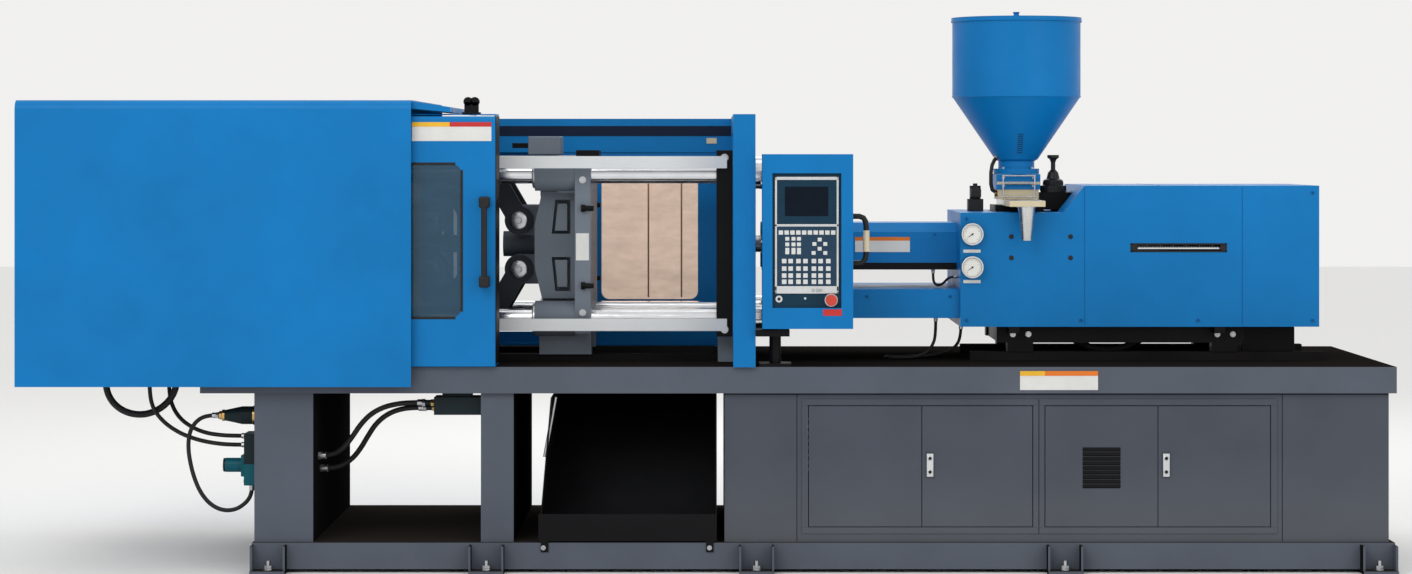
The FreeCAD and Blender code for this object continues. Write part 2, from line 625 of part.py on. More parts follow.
def plates(long, end, inner, outer, bores):
    """A pair of link plates in their own frame: near eye at the origin, far eye on +X."""
    pair = []
    for a in SIDES:
        y = (inner, outer) if a > 0 else ("-" + outer, "-" + inner)
        web = block(("0", long), y, ("-link_waist", "link_waist"))
        if end == "cross_r":
            web = block(("0", long), y, ("-cross_r + 8", "cross_r - 8"))
        eyes = [rod("y", end, (x, "0"), *y) for x in ("0", long)]
        holes = [rod("y", radius, (x, "0"), "-%s - 1" % outer, outer + " + 1")
                 for x, radius in bores]
        pair.append(cut(fuse(web, *eyes), *holes))
    return pair


def tilted(label, items, x, z, turn):
    """A link set turned about Y at its near eye."""
    item = group(*items)
    item.Placement = FreeCAD.Placement(Vector(), FreeCAD.Rotation(Vector(0, 1, 0), number(turn)))
    bind(item, ".Placement.Rotation.Angle", turn)
    move(item, x, "0", z)
    node(label, item)


def toggle():
    """Both toggles: rear links, front links and crosshead links, with their pins."""
    knee_x = "tail_pivot + link_long * cos(fold)"
    knee_z = "(pivot_half + link_long * sin(fold))"
    arm_x = "tail_pivot + cross_arm * cos(fold)"
    arm_z = "(pivot_half + cross_arm * sin(fold))"
    running, small = "toggle_pin + fit_gap", "cross_pin + fit_gap"
    for name, side in (("upper", 1), ("lower", -1)):
        tilt = "%d * fold" % -side
        through = ("-front_out", "front_out")
        rear = plates("link_long", "link_r", "rear_in", "rear_out",
                      [("0", "toggle_pin"), ("link_long", "toggle_pin"), ("cross_arm", small)])
        rear += [rod("y", "toggle_pin", ("0", "0"), "rear_in", "front_out"),
                 rod("y", "toggle_pin", ("0", "0"), "-front_out", "-rear_in"),
                 rod("y", "toggle_pin", ("link_long", "0"), "rear_in", "front_out"),
                 rod("y", "toggle_pin", ("link_long", "0"), "-front_out", "-rear_in")]
        tilted("rear_links_" + name, rear, "tail_pivot",
               "axis_high + %d * pivot_half" % side, tilt)
        front = plates("link_long", "link_r", "front_in", "front_out",
                       [("0", running), ("link_long", "toggle_pin")])
        front += [rod("y", "toggle_pin", ("link_long", "0"), *through)]
        tilted("front_links_" + name, front, knee_x, "axis_high + %d * %s" % (side, knee_z),
               "%d * fold" % side)
        cross = plates("cross_arm", "cross_r", "cross_in", "cross_out",
                       [("0", "cross_pin"), ("cross_arm", "cross_pin")])
        cross += [rod("y", "cross_pin", ("0", "0"), "cross_in", "rear_out"),
                  rod("y", "cross_pin", ("0", "0"), "-rear_out", "-cross_in"),
                  rod("y", "cross_pin", ("cross_arm", "0"), *both("cross_out"))]
        tilted("crosshead_links_" + name, cross, arm_x,
               "axis_high + %d * %s" % (side, arm_z), "%d * fold" % side)


def moving_platen():
    """Cast moving platen: mould plate, ribbed back, tie-bar bosses, ears, slide feet."""
    back = "mould_face - mould_plate"
    plate = block((back, "mould_face"), both("platen_half_w"),
                  ("axis_high - platen_half_h", "axis_high + platen_half_h"))
    def level(share):
        return "axis_high + %s" % share
    rib = extruded("ribs", "XZ", [
        (back, level("rib_half_h")), ("rib_left", level("rib_half_h")),
        ("bump_left", level("rib_half_h * 0.4")), ("bump_left", level("-rib_half_h * 0.4")),
        ("rib_left", level("-rib_half_h")), (back, level("-rib_half_h"))],
        "-rib_half_w", "rib_half_w")
    pivot = "tail_pivot + 2 * link_long * cos(fold)"
    bore = {-1: "toggle_pin + open_gap", 1: "toggle_pin + fit_gap"}
    parts, holes = ears(pivot, "rib_left", "rear_in", "rear_out", bore)
    parts += bar_bores("boss_r", "boss_left", back)
    parts += [block(("back_of_pad", "mould_face"),
                    ("%d * way_half - 50" % a, "%d * way_half + 50" % a),
                    ("way_top + slide_gap", "axis_high - platen_half_h")) for a in SIDES]
    parts.append(rod("x", "eject_cyl", ("0", "axis_high"), "eject_cyl_left", "bump_left + 5"))
    holes += bar_bores("bar_r + fit_gap", "boss_left - 1", "mould_face + 1")
    for a in SIDES:
        y = ("rib_half_w - 60", "rib_half_w + 1")
        if a < 0:
            y = ("-rib_half_w - 1", "-rib_half_w + 60")
        for b in SIDES:
            holes.append(extruded("window", "XZ", [
                ("rib_left + 38", level("%d * 45" % b)), (back + " - 22", level("%d * 45" % b)),
                (back + " - 22", level("%d * (rib_half_h - 28)" % b)),
                ("rib_left + 52", level("%d * (rib_half_h - 28)" % b))], *y))
        holes.append(rod("x", "eject_rod + fit_gap", ("%d * eject_pitch" % a, "axis_high"),
                         back + " - 1", "mould_face + 1"))
    holes.append(block(("chamber_left", back), both("chamber_half_w"),
                       ("axis_high - chamber_half_h", "axis_high + chamber_half_h")))
    holes.append(rod("x", "eject_piston + fit_gap", ("0", "axis_high"),
                     "eject_cyl_left + 12", "chamber_left + 1"))
    holes += platen_holes("mould_face", "-bolt_deep")
    node("moving_platen", cut(fuse(plate, rib, *parts), *holes))


def ejector():
    """Ejector plate on its piston, with two ejector rods."""
    plate = block(("eject_x", "eject_x + eject_plate"), both("eject_half_w"),
                  ("axis_high - eject_half_h", "axis_high + eject_half_h"))
    rods = [rod("x", "eject_rod", ("%d * eject_pitch" % a, "axis_high"), "eject_x",
                "mould_face - eject_tip") for a in SIDES]
    piston = rod("x", "eject_piston", ("0", "axis_high"), "eject_cyl_left + 20", "eject_x + 1")
    node("ejector", fuse(plate, piston, *rods))


# ---------------------------------------------------------------- guards
def long_edges(edge):
    """Edges that run along X."""
    return abs(edge.tangentAt(edge.FirstParameter).x) > 0.999


def rear_cover():
    """Folded sheet cover over the tail of the clamp, open below and towards the mould."""
    x = ("cover_left", "cover_right")
    shell = rounded(block(x, both("cover_half"), ("cover_low", "cover_top")), "cover_round",
                    lambda e: long_edges(e) and e.BoundBox.ZMin > number("cover_top") - 1)
    hollow = rounded(block(("cover_left + cover_wall", "cover_right + 1"),
                           both("cover_half - cover_wall"),
                           ("cover_low - 1", "cover_top - cover_wall")), "cover_round - cover_wall",
                     lambda e: long_edges(e) and e.BoundBox.ZMin > number("cover_top") - 9)
    visor = extruded("visor", "XZ", [
        ("visor_left", "cover_top - cover_wall - visor_thick"),
        ("visor_right", "cover_top - visor_drop - visor_thick"),
        ("visor_right", "cover_top - visor_drop"),
        ("cover_right", "cover_top - cover_wall"),
        ("visor_left", "cover_top - cover_wall")],
        *both("cover_half - cover_round"))
    folds = [block(x, (a, b), ("cover_low", "cover_low + cover_wall"))
             for a, b in (("-cover_half", "-cover_half + cover_fold"),
                          ("cover_half - cover_fold", "cover_half"))]
    brackets = []
    for start in ("deck_left + 60", "cover_right - 160"):
        for a in SIDES:
            y = (HALF, "cover_half - 1")
            if a < 0:
                y = ("-cover_half + 1", "-" + HALF)
            brackets.append(block((start, start + " + 60"), y, ("cover_low + 1", "cover_low + 50")))
    node("rear_cover", fuse(cut(shell, hollow), visor, *folds, *brackets))


def gate_rails():
    """Two flat guide rails of the front gate and the post that holds their far ends."""
    x = ("rail_left", "rail_right")
    y = ("rail_front", "rail_front + rail_thick")
    rails = [block(x, y, (z + " - rail_high / 2", z + " + rail_high / 2"))
             for z in ("rail_up", "rail_down")]
    post = block(("rail_left", "rail_left + rail_post"), (y[1], y[1] + " + rail_post"),
                 ("deck_top", "rail_up + rail_high"))
    node("gate_rails", group(*rails, post))


def front_gate():
    """Folded sliding gate with its window opening and four hanger blocks."""
    left = "gate_right - gate_long"
    inner = "gate_front + gate_wall"
    pane = ("pane_right - pane_wide", "pane_right")
    pan = rounded(block((left, "gate_right"), ("gate_front", "gate_front + gate_deep"),
                        ("gate_low", "gate_top")), "gate_round",
                  lambda e: long_edges(e) and e.BoundBox.ZMin > number("gate_top") - 1
                  and e.BoundBox.YMax < number("gate_front") + 1)
    hollow = block((left + " - 1", "gate_right - gate_wall"), (inner, "gate_front + gate_deep + 1"),
                   ("gate_low + gate_wall", "gate_top - gate_wall"))
    trim = [block((left + " - 1", "gate_right - gate_wall - 60"),
                  ("gate_front + gate_fold", "gate_front + gate_deep + 1"), z)
            for z in (("gate_low - 1", "gate_low + gate_wall + 1"),
                      ("gate_top - gate_wall - 1", "gate_top + 1"))]
    opening = rounded(block(pane, ("gate_front - 1", inner + " + 1"), ("pane_low", "pane_high")),
                      "pane_round",
                      lambda e: abs(e.tangentAt(e.FirstParameter).y) > 0.999)
    hangers = []
    for start in ("hanger_a", "hanger_b"):
        for z in ("rail_up", "rail_down"):
            solid = block((start, start + " + hanger_long"),
                          (inner, "rail_front + rail_thick + hanger_lap"),
                          (z + " - rail_high / 2 - hanger_lap", z + " + rail_high / 2 + hanger_lap"))
            groove = block((start + " - 1", start + " + hanger_long + 1"),
                           ("rail_front - slide_gap", "rail_front + rail_thick + slide_gap"),
                           (z + " - rail_high / 2 - slide_gap",
                            z + " + rail_high / 2 + slide_gap"))
            hangers.append(cut(solid, groove))
    node("front_gate", fuse(cut(pan, hollow, *trim, opening), *hangers))


def gate_trim():
    """Window pane and pull handle of the front gate."""
    inner = "gate_front + gate_wall"
    node("gate_window", block(("pane_right - pane_wide - pane_lap", "pane_right + pane_lap"),
                              (inner, inner + " + pane_thick"),
                              ("pane_low - pane_lap", "pane_high + pane_lap")))
    x = ("grip_left", "grip_right")
    ends = [block(x, ("gate_front - grip_out", "gate_front"), z)
            for z in (("grip_low", "grip_low + grip_block"),
                      ("grip_high - grip_block", "grip_high"))]
    bar = block(x, ("gate_front - grip_out", "gate_front - grip_out + grip_bar"),
                ("grip_low", "grip_high"))
    node("gate_handle", fuse(bar, *ends))


def guard_portal():
    """Portal over the fixed platen with the rear guard rails and rail end plates."""
    y_in = "bed_width / 2 + 20"
    x = ("post_left", "post_right")
    front = block(x, ("gate_front", "gate_front + post_deep"), ("deck_top + 0", "post_top"))
    front_room = block(("post_left + post_wall", "post_right + 1"),
                       ("gate_front + post_wall", "gate_front + post_deep - post_wall"),
                       ("deck_top - 1", "post_top - post_wall"))
    rear = block(x, (y_in + " - post_deep", y_in), ("deck_top", "post_top"))
    bridge = block(x, ("gate_front + post_deep - 1", y_in + " - post_deep + 1"),
                   ("post_top - bridge_high", "post_top"))
    ends = block(("end_left", "post_left"),
                 ("rail_front + rail_thick", "rail_front + rail_thick + 12"),
                 ("rail_down - rail_high", "rail_up + rail_high"))
    tie = block(("post_left - 1", "post_left + 30"),
                ("gate_front + post_deep - 1", "rail_front + rail_thick + 12"),
                ("rail_down - rail_high", "rail_up + rail_high"))
    far = ("cover_right + 10", "post_left + 1")
    top = block(far, ("back_front", "back_rear"), ("back_top - back_high", "back_top"))
    web = block(far, ("back_rear - 12", "back_rear"), ("back_panel_low", "back_top"))
    lip = block(far, ("back_front", "back_front + 4"),
                ("back_panel_high - 70", "back_top - back_high + 1"))
    foot = block(("cover_right + 10", "cover_right + 50"), ("back_rear - 12", "back_rear"),
                 ("deck_top", "back_top"))
    sill = block(("track_left", "post_left + 1"), ("door_front - 10", "back_rear - 20"),
                 ("deck_top", "deck_top + 14"))
    low_panel = block(("cover_right + 10", "post_left + 1"), ("back_rear - 12", "back_rear"),
                      ("deck_top", "deck_top + 60"))
    node("guard_portal", fuse(cut(front, front_room), rear, bridge, ends, tie, top, web, lip,
                              foot, sill, low_panel))


def rear_gate():
    """Sliding rear gate with its bronze window."""
    y = ("door_front", "door_front + door_thick")
    panel = block(("door_left", "door_right"), y, ("deck_top + 14 + slide_gap", "door_high"))
    room = block(("door_left + 4", "door_right - 4"), ("door_front + 4", y[1] + " + 1"),
                 ("door_low + 4", "door_high - 4"))
    view = rounded(block(("view_left", "view_right"), ("door_front - 1", y[1]),
                         ("view_low", "view_high")), "view_round",
                   lambda e: abs(e.tangentAt(e.FirstParameter).y) > 0.999)
    node("rear_gate", cut(panel, room, view))
    node("rear_window", block(("view_left - pane_lap", "view_right + pane_lap"),
                              ("door_front + 4", "door_front + 4 + pane_thick"),
                              ("view_low - pane_lap", "view_high + pane_lap")))


# ---------------------------------------------------------------- control panel
def control_box():
    """Operator's box with a recessed face, turning on the stand's spigot."""
    y = ("box_front", "box_front + box_deep")
    shell = block(("box_left", "box_right"), y, ("box_low", "box_high"))
    face = block(("recess_left", "recess_right"), ("box_front - 1", "box_front + recess_deep"),
                 ("recess_low", "recess_high"))
    button = rod("y", "stop_stem + fit_gap", ("stop_x", "stop_z"),
                 "box_front + recess_deep - 1", "box_front + recess_deep + 40")
    room = block(("box_left + box_wall", "box_right - box_wall"),
                 ("box_front + recess_deep + box_wall", y[1] + " - box_wall"),
                 ("box_low + box_wall", "box_high - box_wall"))
    boss = rod("z", "stand_spigot + 16", ("stand_x", "stand_y - 20"), "box_low", "box_low + 50")
    spigot = rod("z", "stand_spigot + fit_gap", ("stand_x", "stand_y"), "box_low - 1",
                 "box_low + 40")
    node("control_box", cut(fuse(cut(shell, room), boss), face, button, spigot))
    at = ("stop_x", "stop_z")
    start = "box_front + recess_deep"
    head = rod("y", "stop_r", at, start + " - stop_proud", start + " - 12")
    stem = rod("y", "stop_stem", at, start + " - 13", start + " + 25")
    node("e_stop", fuse(head, stem))


def panel_stand():
    """Post with a foot, a shelf and the spigot that the control box turns on."""
    at = ("stand_x", "stand_y")
    top = "shelf_low + shelf_thick"
    node("panel_stand", fuse(
        block(("stand_x - stand_foot", "stand_x + stand_foot"),
              ("stand_y - stand_foot + 10", "stand_y + stand_foot"), ("deck_top", "deck_top + 12")),
        rod("z", "stand_r", at, "deck_top", "shelf_low + 1"),
        block(("shelf_left", "shelf_right"), ("stand_y - 110", "stand_y + 40"),
              ("shelf_low", top)),
        rod("z", "stand_spigot", at, "shelf_low", "box_low + 38")))


# ---------------------------------------------------------------- injection unit
def carriage_frame():
    """Feed throat casting on two runners with four slide feet and an arm."""
    runners, feet = [], []
    for a in SIDES:
        y = ("%d * runner_y - runner_half" % a, "%d * runner_y + runner_half" % a)
        runners.append(block(("runner_left", "runner_right"), y, ("runner_low", "runner_high")))
        for left, right in (("foot_in_left", "foot_in_right"),
                            ("foot_out_left", "foot_out_right")):
            feet.append(block((left, right), y, ("rail_top + slide_gap", "runner_low")))
            side = ("runner_y + runner_half - 1", "case_half - case_wall")
            if a < 0:
                side = ("-case_half + case_wall", "-runner_y - runner_half + 1")
            feet.append(block((left, left + " + case_bracket"), side,
                              ("runner_high - 20", "case_low + 30")))
    cross = [block((a, b), both("runner_y"), ("runner_low", "runner_high"))
             for a, b in (("feed_left", "feed_right"), ("foot_out_left", "foot_out_right"))]
    pillar = block(("feed_left + 20", "feed_right - 20"), both("feed_half"),
                   ("runner_high - 1", "feed_low + 1"))
    throat = block(("feed_left", "feed_right"), both("feed_half"), ("feed_low", "feed_top"))
    cheeks = block(("feed_right - 40", "feed_right"), both("inj_y + inj_r"),
                   ("axis_high - inj_r", "axis_high + inj_r"))
    hangers = [block(("hose_end", "hose_end + 60"), ("-runner_y", "-90"),
                     ("runner_low", "runner_high"))]
    arm = block(("feed_right - 20", "arm_right"), both("arm_half"), ("arm_low", "arm_top"))
    arm_notch = block(("feed_right - 21", "seat_half + hop_x + 3"), both("arm_half + 1"),
                      ("feed_top", "arm_top + 1"))
    holes = [rod("x", "barrel_r", ("0", "axis_high"), "feed_left - 1", "feed_right + 1"),
             rod("z", "feed_hole", ("hop_x", "0"), "axis_high", "feed_top + 1"),
             rod("z", "knob_stem + fit_gap", ("knob_x", "0"), "arm_top - knob_deep",
                 "arm_top + 1"), arm_notch]
    node("carriage_frame", cut(fuse(*runners, *feet, *cross, *hangers, pillar, throat, cheeks,
                                    arm), *holes))


def barrel():
    """Bored barrel with its nozzle, and the heater bands round it."""
    at = ("0", "axis_high")
    tube = fuse(rod("x", "barrel_r", at, "barrel_left", "barrel_right"),
                taper("x", "12", "34", at, "nozzle_left", "nozzle_left + 40"),
                rod("x", "34", at, "nozzle_left + 39", "barrel_left - 30"),
                taper("x", "34", "barrel_r - 8", at, "barrel_left - 31", "barrel_left + 1"))
    tube = cut(tube, rod("x", "screw_r", at, "barrel_left - 10", "barrel_right + 1"),
               rod("x", "4", at, "nozzle_left - 1", "barrel_left"),
               rod("z", "feed_hole", ("hop_x", "0"), "axis_high", "axis_high + barrel_r + 1"))
    bands = []
    for i in range(int(SIZES["band_count"])):
        start = "barrel_left + 40 + %d * (band_long + 40)" % i
        bands.append(cut(rod("x", "band_r", at, start, start + " + band_long"),
                         rod("x", "barrel_r", at, start + " - 1", start + " + band_long + 1")))
    node("barrel", group(tube, *bands))


def screw():
    """Plasticising screw: tip, core and shank."""
    at = ("0", "axis_high")
    core = "screw_r - 7"
    node("screw", fuse(
        taper("x", "2", "16", at, "barrel_left - 5", "barrel_left + 25"),
        rod("x", core, at, "barrel_left + 24", "feed_right - 40"),
        rod("x", "screw_r - fit_gap", at, "feed_right - 41", "shank_end")))


def injection_cylinders():
    """Two injection cylinders bolted behind the feed throat."""
    tubes = []
    for a in SIDES:
        at = ("%d * inj_y" % a, "axis_high")
        tubes.append(cut(rod("x", "inj_r", at, "feed_right", "inj_end"),
                         rod("x", "inj_bore", at, "feed_right + 10", "inj_end - 20"),
                         rod("x", "inj_rod + fit_gap", at, "inj_end - 21", "inj_end + 1")))
    node("injection_cylinders", group(*tubes))


def injection_drive():
    """Thrust housing with the screw motor and the two piston rods."""
    at = ("0", "axis_high")
    housing = block(("thrust_left", "thrust_right"), both("thrust_half"),
                    ("axis_high - thrust_high", "axis_high + thrust_high"))
    skids = [block(("thrust_left", "thrust_right"),
                   ("%d * 205 - 20" % a, "%d * 205 + 20" % a),
                   ("runner_high + slide_gap", "axis_high - thrust_high")) for a in SIDES]
    motor = fuse(rod("x", "motor_r", at, "thrust_right - 1", "thrust_right + motor_long"),
                 rod("x", "motor_r + 20", at, "thrust_right - 1", "thrust_right + 30"),
                 rod("x", "motor_r - 30", at, "thrust_right + motor_long - 1",
                     "thrust_right + motor_long + 40"))
    rods = []
    for a in SIDES:
        spot = ("%d * inj_y" % a, "axis_high")
        rods += [rod("x", "inj_rod", spot, "inj_piston_x", "thrust_left + 1"),
                 rod("x", "inj_bore - fit_gap", spot, "inj_piston_x",
                     "inj_piston_x + inj_piston")]
    bore = rod("x", "screw_r", at, "thrust_left - 1", "shank_end + 2")
    node("injection_drive", cut(fuse(housing, motor, *skids, *rods), bore))


def injection_housing():
    """Sheet case over the injection unit, open below, with its scale slot."""
    outline = [("case_left", "case_low"), ("case_right", "case_low"),
               ("case_right", "case_top"), ("case_ramp_b", "case_top"),
               ("case_ramp_a", "case_mid"), ("case_left", "case_mid")]
    outer = extruded("case", "XZ", outline, *both("case_half"))
    wall = "case_wall"
    room = [("case_left + %s" % wall, "case_low - 1"), ("case_right - %s" % wall, "case_low - 1"),
            ("case_right - %s" % wall, "case_top - %s" % wall),
            ("case_ramp_b + 1", "case_top - %s" % wall),
            ("case_ramp_a + 2", "case_mid - %s" % wall),
            ("case_left + %s" % wall, "case_mid - %s" % wall)]
    inner = extruded("room", "XZ", room, *both("case_half - case_wall"))
    throat = block(("feed_left - 8", "arm_right + 8"), both("feed_half + 8"),
                   ("case_mid - 20", "case_top - 20"))
    slot = block(("slot_left", "slot_right"), ("-case_half - 1", "-case_half + case_wall + 1"),
                 ("slot_z - slot_high / 2", "slot_z + slot_high / 2"))
    nose = rod("x", "band_r + 12", ("0", "axis_high"), "case_left - 1", "case_left + 10")
    tab = block(("case_left", "case_left + 84"), ("-case_half", "-case_half + 180"),
                ("case_low", "case_low + case_wall"))
    node("injection_housing", fuse(cut(outer, inner, throat, slot, nose), tab))


def barrel_guards():
    """Chamfered barrel guard and the lower cover over the pull-in gear."""
    x = ("guard_left", "case_left")
    outline = [("-guard_half", "guard_low"), ("guard_half", "guard_low"),
               ("guard_half", "guard_edge"), ("guard_flat", "guard_top"),
               ("-guard_flat", "guard_top"), ("-guard_half", "guard_edge")]
    outer = extruded("guard", "YZ", outline, *x)
    t = "sheet_wall"
    room = [("-guard_half + " + t, "guard_low - 1"), ("guard_half - " + t, "guard_low - 1"),
            ("guard_half - " + t, "guard_edge - 1"), ("guard_flat - 1", "guard_top - " + t),
            ("-guard_flat + 1", "guard_top - " + t), ("-guard_half + " + t, "guard_edge - 1")]
    inner = extruded("guard_room", "YZ", room, "guard_left - 1", "case_left + 1")
    tab = block(("case_left - 115", "case_left - 50"), ("-guard_half", "-guard_half + 45"),
                ("guard_low", "guard_low + " + t))
    node("barrel_guard", fuse(cut(outer, inner), tab))
    case = block(("lower_left", "case_left"), both("lower_half"), ("lower_low", "lower_top"))
    hollow = block(("lower_left + " + t, "case_left - " + t), both("lower_half - " + t),
                   ("lower_low - 1", "lower_top - " + t))
    tab = block(("case_left - 110", "case_left"), ("-lower_half", "-lower_half + 120"),
                ("lower_low", "lower_low + " + t))
    node("beam_cover", fuse(cut(case, hollow), tab))


def gauges():
    """Two pressure gauges on the near side of the case."""
    dials = []
    for z in ("gauge_up", "gauge_down"):
        at = ("gauge_x", z)
        dial = fuse(rod("y", "gauge_r", at, "-case_half - gauge_deep", "-case_half"),
                    rod("y", "gauge_r - 4", at, "-case_half - gauge_deep - 2", "-case_half"))
        dials.append(cut(dial, rod("y", "gauge_r - 6", at, "-case_half - gauge_deep - 3",
                                   "-case_half - gauge_deep + 6")))
    node("gauges", group(*dials))


# ---------------------------------------------------------------- hopper
def hopper():
    """Spun sheet hopper with a rolled rim and a foot ring."""
    t = "hop_wall"
    profile = [("hop_mouth", "hop_foot"), ("hop_ring_r", "hop_foot"),
               ("hop_ring_r", "hop_foot + 21"), ("hop_neck_r - 13", "hop_foot + 21"),
               ("hop_neck_r - 13", "hop_neck - 8"), ("hop_neck_r", "hop_neck"),
               ("hop_r - 2", "hop_knee"), ("hop_r - 2", "hop_rim - 12"), ("hop_r + 2", "hop_rim - 12"),
               ("hop_r + 2", "hop_rim"), ("hop_r - 2 - " + t, "hop_rim"),
               ("hop_r - 2 - " + t, "hop_knee + 1"), ("hop_neck_r - " + t, "hop_neck + 1"),
               ("hop_neck_r - 13 - " + t, "hop_neck - 8"), ("hop_neck_r - 13 - " + t, "hop_foot + 12"),
               ("hop_mouth", "hop_foot + 8")]
    node("hopper", turned("hopper", profile, "hop_x", "0"))
    lid = [("0", "hop_rim + slide_gap"), ("hop_r + 2", "hop_rim + slide_gap"),
           ("hop_r + 2", "hop_rim + slide_gap + 1.5"), ("60", "hop_rim + lid_thick + 6"),
           ("14", "hop_rim + lid_thick + 6"), ("10", "hop_rim + lid_knob - 8"),
           ("14", "hop_rim + lid_knob"), ("0", "hop_rim + lid_knob")]
    node("hopper_lid", turned("lid", lid, "hop_x", "0"))


def hopper_base():
    """Shut-off block and sliding slab under the hopper."""
    seat = block(("hop_x - seat_half", "hop_x + seat_half"), both("seat_half"),
                 ("seat_low", "hop_foot"))
    slab = block(("hop_x - slab_half", "hop_x + slab_half"), both("slab_half"),
                 ("slab_low + slide_gap", "seat_low"))
    bore = rod("z", "hop_mouth", ("hop_x", "0"), "slab_low - 1", "hop_foot + 1")
    slot = block(("hop_x - gate_half - slide_gap", "hop_x + gate_half + slide_gap"),
                 ("-seat_half - 1", "gate_half + slide_gap"),
                 ("gate_slot - slide_gap", "gate_slot + gate_sheet + slide_gap"))
    node("hopper_base", cut(fuse(seat, slab), bore, slot))


def shutoff_gate():
    """Sliding shut-off plate with its wire handle."""
    plate = block(("hop_x - gate_half", "hop_x + gate_half"), ("wire_y", "gate_half"),
                  ("gate_slot", "gate_slot + gate_sheet"))
    port = rod("z", "hop_mouth - 6", ("hop_x", "0"), "gate_slot - 1", "gate_slot + gate_sheet + 1")
    wires = [rod("z", "wire_r", ("hop_x + %d * wire_half" % a, "wire_y"), "wire_low", "wire_high")
             for a in SIDES]
    wires += [rod("x", "wire_r", ("wire_y", z), "hop_x - wire_half - wire_r",
                  "hop_x + wire_half + wire_r")
              for z in ("wire_low", "wire_high", "gate_slot + gate_sheet / 2")]
    node("shutoff_gate", fuse(cut(plate, port), *wires))


def drain_chute():
    """Slide track under the hopper with the tapered drain spout at its front."""
    track = block(("hop_x - track_half", "hop_x + track_half"), ("track_front", "track_back"),
                  ("feed_top", "slab_low"))
    at = ("hop_x", "drain_y")
    spout = cut(fuse(track, taper("z", "spout_tip", "spout_r", at, "spout_low", "spout_top + 1")),
                taper("z", "spout_tip - spout_wall", "spout_r - spout_wall", at,
                      "spout_low - 1", "spout_top + 2"),
                rod("z", "spout_r - spout_wall", at, "spout_top", "slab_low + 1"),
                rod("z", "feed_hole", ("hop_x", "0"), "feed_top - 1", "slab_low + 1"))
    node("drain_chute", spout)


def valve_knob():
    """Stepped hand knob that turns on the carriage arm."""
    steps = [("0", "arm_top - knob_deep + 2"), ("knob_stem", "arm_top - knob_deep + 2"),
             ("knob_stem", "arm_top + slide_gap"), ("50", "arm_top + slide_gap"),
             ("50", "arm_top + 26"), ("38", "arm_top + 30"), ("38", "arm_top + 48"),
             ("26", "arm_top + 54"), ("20", "arm_top + 78"), ("9", "arm_top + 90"),
             ("9", "arm_top + 118"), ("14", "arm_top + 130"), ("23", "arm_top + 136"),
             ("23", "arm_top + 147"), ("0", "arm_top + 147")]
    node("valve_knob", turned("knob", steps, "knob_x", "0"))


# ---------------------------------------------------------------- cabinet contents, valves
def cabinet_contents():
    """Motor with pump behind the right doors, switchgear plate behind the left ones."""
    floor = "foot_thick + beam_high + cab_wall"
    at = ("motor_y", "motor_z")
    motor = fuse(rod("x", "125", at, "motor_x - 150", "motor_x + 200"),
                 rod("x", "118", at, "motor_x + 199", "motor_x + 250"),
                 rod("x", "140", at, "motor_x - 170", "motor_x - 150"),
                 block(("motor_x - 60", "motor_x + 80"), ("motor_y - 60", "motor_y + 60"),
                       ("motor_z + 100", "motor_z + 180")),
                 *[block((x, x + " + 40"), ("motor_y - 100", "motor_y + 100"), (floor, "motor_z"))
                   for x in ("motor_x - 130", "motor_x + 130")])
    pump = fuse(rod("x", "90", at, "motor_x - 250", "motor_x - 170"),
                rod("x", "70", at, "motor_x - 380", "motor_x - 250"),
                block(("motor_x - 350", "motor_x - 280"), ("motor_y - 85", "motor_y + 85"),
                      ("motor_z - 85", "motor_z + 85")))
    node("pump_set", group(motor, pump))
    y = ("rack_y", "rack_y + 6")
    plate = block(("bay_a_left + 10", "bay_a_right - 10"), y, (floor, "bay_high + 20"))
    gear = []
    for row, (low, tall, deep, count) in enumerate(((210, 90, 70, 6), (340, 130, 120, 4),
                                                    (510, 80, 60, 8))):
        pitch = "(bay_a_right - bay_a_left - 60) / %d" % count
        for i in range(count):
            start = "bay_a_left + 30 + %d * %s" % (i, pitch)
            gear.append(block((start, start + " + 0.8 * " + pitch), ("rack_y - %d" % deep, "rack_y"),
                              (str(low), str(low + tall))))
    node("electrical_rack", group(fuse(plate, *gear)))


def valve_group():
    """Pilot valves on the tail leg and the junction block under the deck."""
    face = "valve_right"
    manifold = block((face + " - 45", face), ("-560", "-440"), ("320", "515"))
    coil = rod("x", "26", ("-500", "392"), face + " - 130", face + " - 45")
    valve = fuse(rod("x", "34", ("-500", "580"), face + " - 60", face),
                 taper("x", "20", "34", ("-500", "580"), face + " - 125", face + " - 60"),
                 rod("x", "13", ("-500", "580"), face + " - 150", face + " - 120"))
    junction = block(("leg_b_left - 180", "leg_b_left"), ("-560", "-440"),
                     ("deck_top - deck_high - 86", "deck_top - deck_high - 20"))
    hang = block(("leg_b_left - 150", "leg_b_left - 40"), ("-540", "-460"),
                 ("deck_top - deck_high - 21", "deck_top - deck_high"))
    nipple = [rod("x", "11", (y, z), "leg_b_left - 215", "leg_b_left - 179")
              for y, z in (("-530", "630"), ("-480", "608"))]
    bulkhead = fuse(block(("deck_left - 420", "deck_left - 60"), ("-480", "-320"), ("735", "760")),
                    block(("deck_left - 61", "deck_left"), ("-440", "-360"), ("690", "760")))
    node("valve_group", group(manifold, coil, valve, fuse(junction, hang, *nipple), bulkhead))


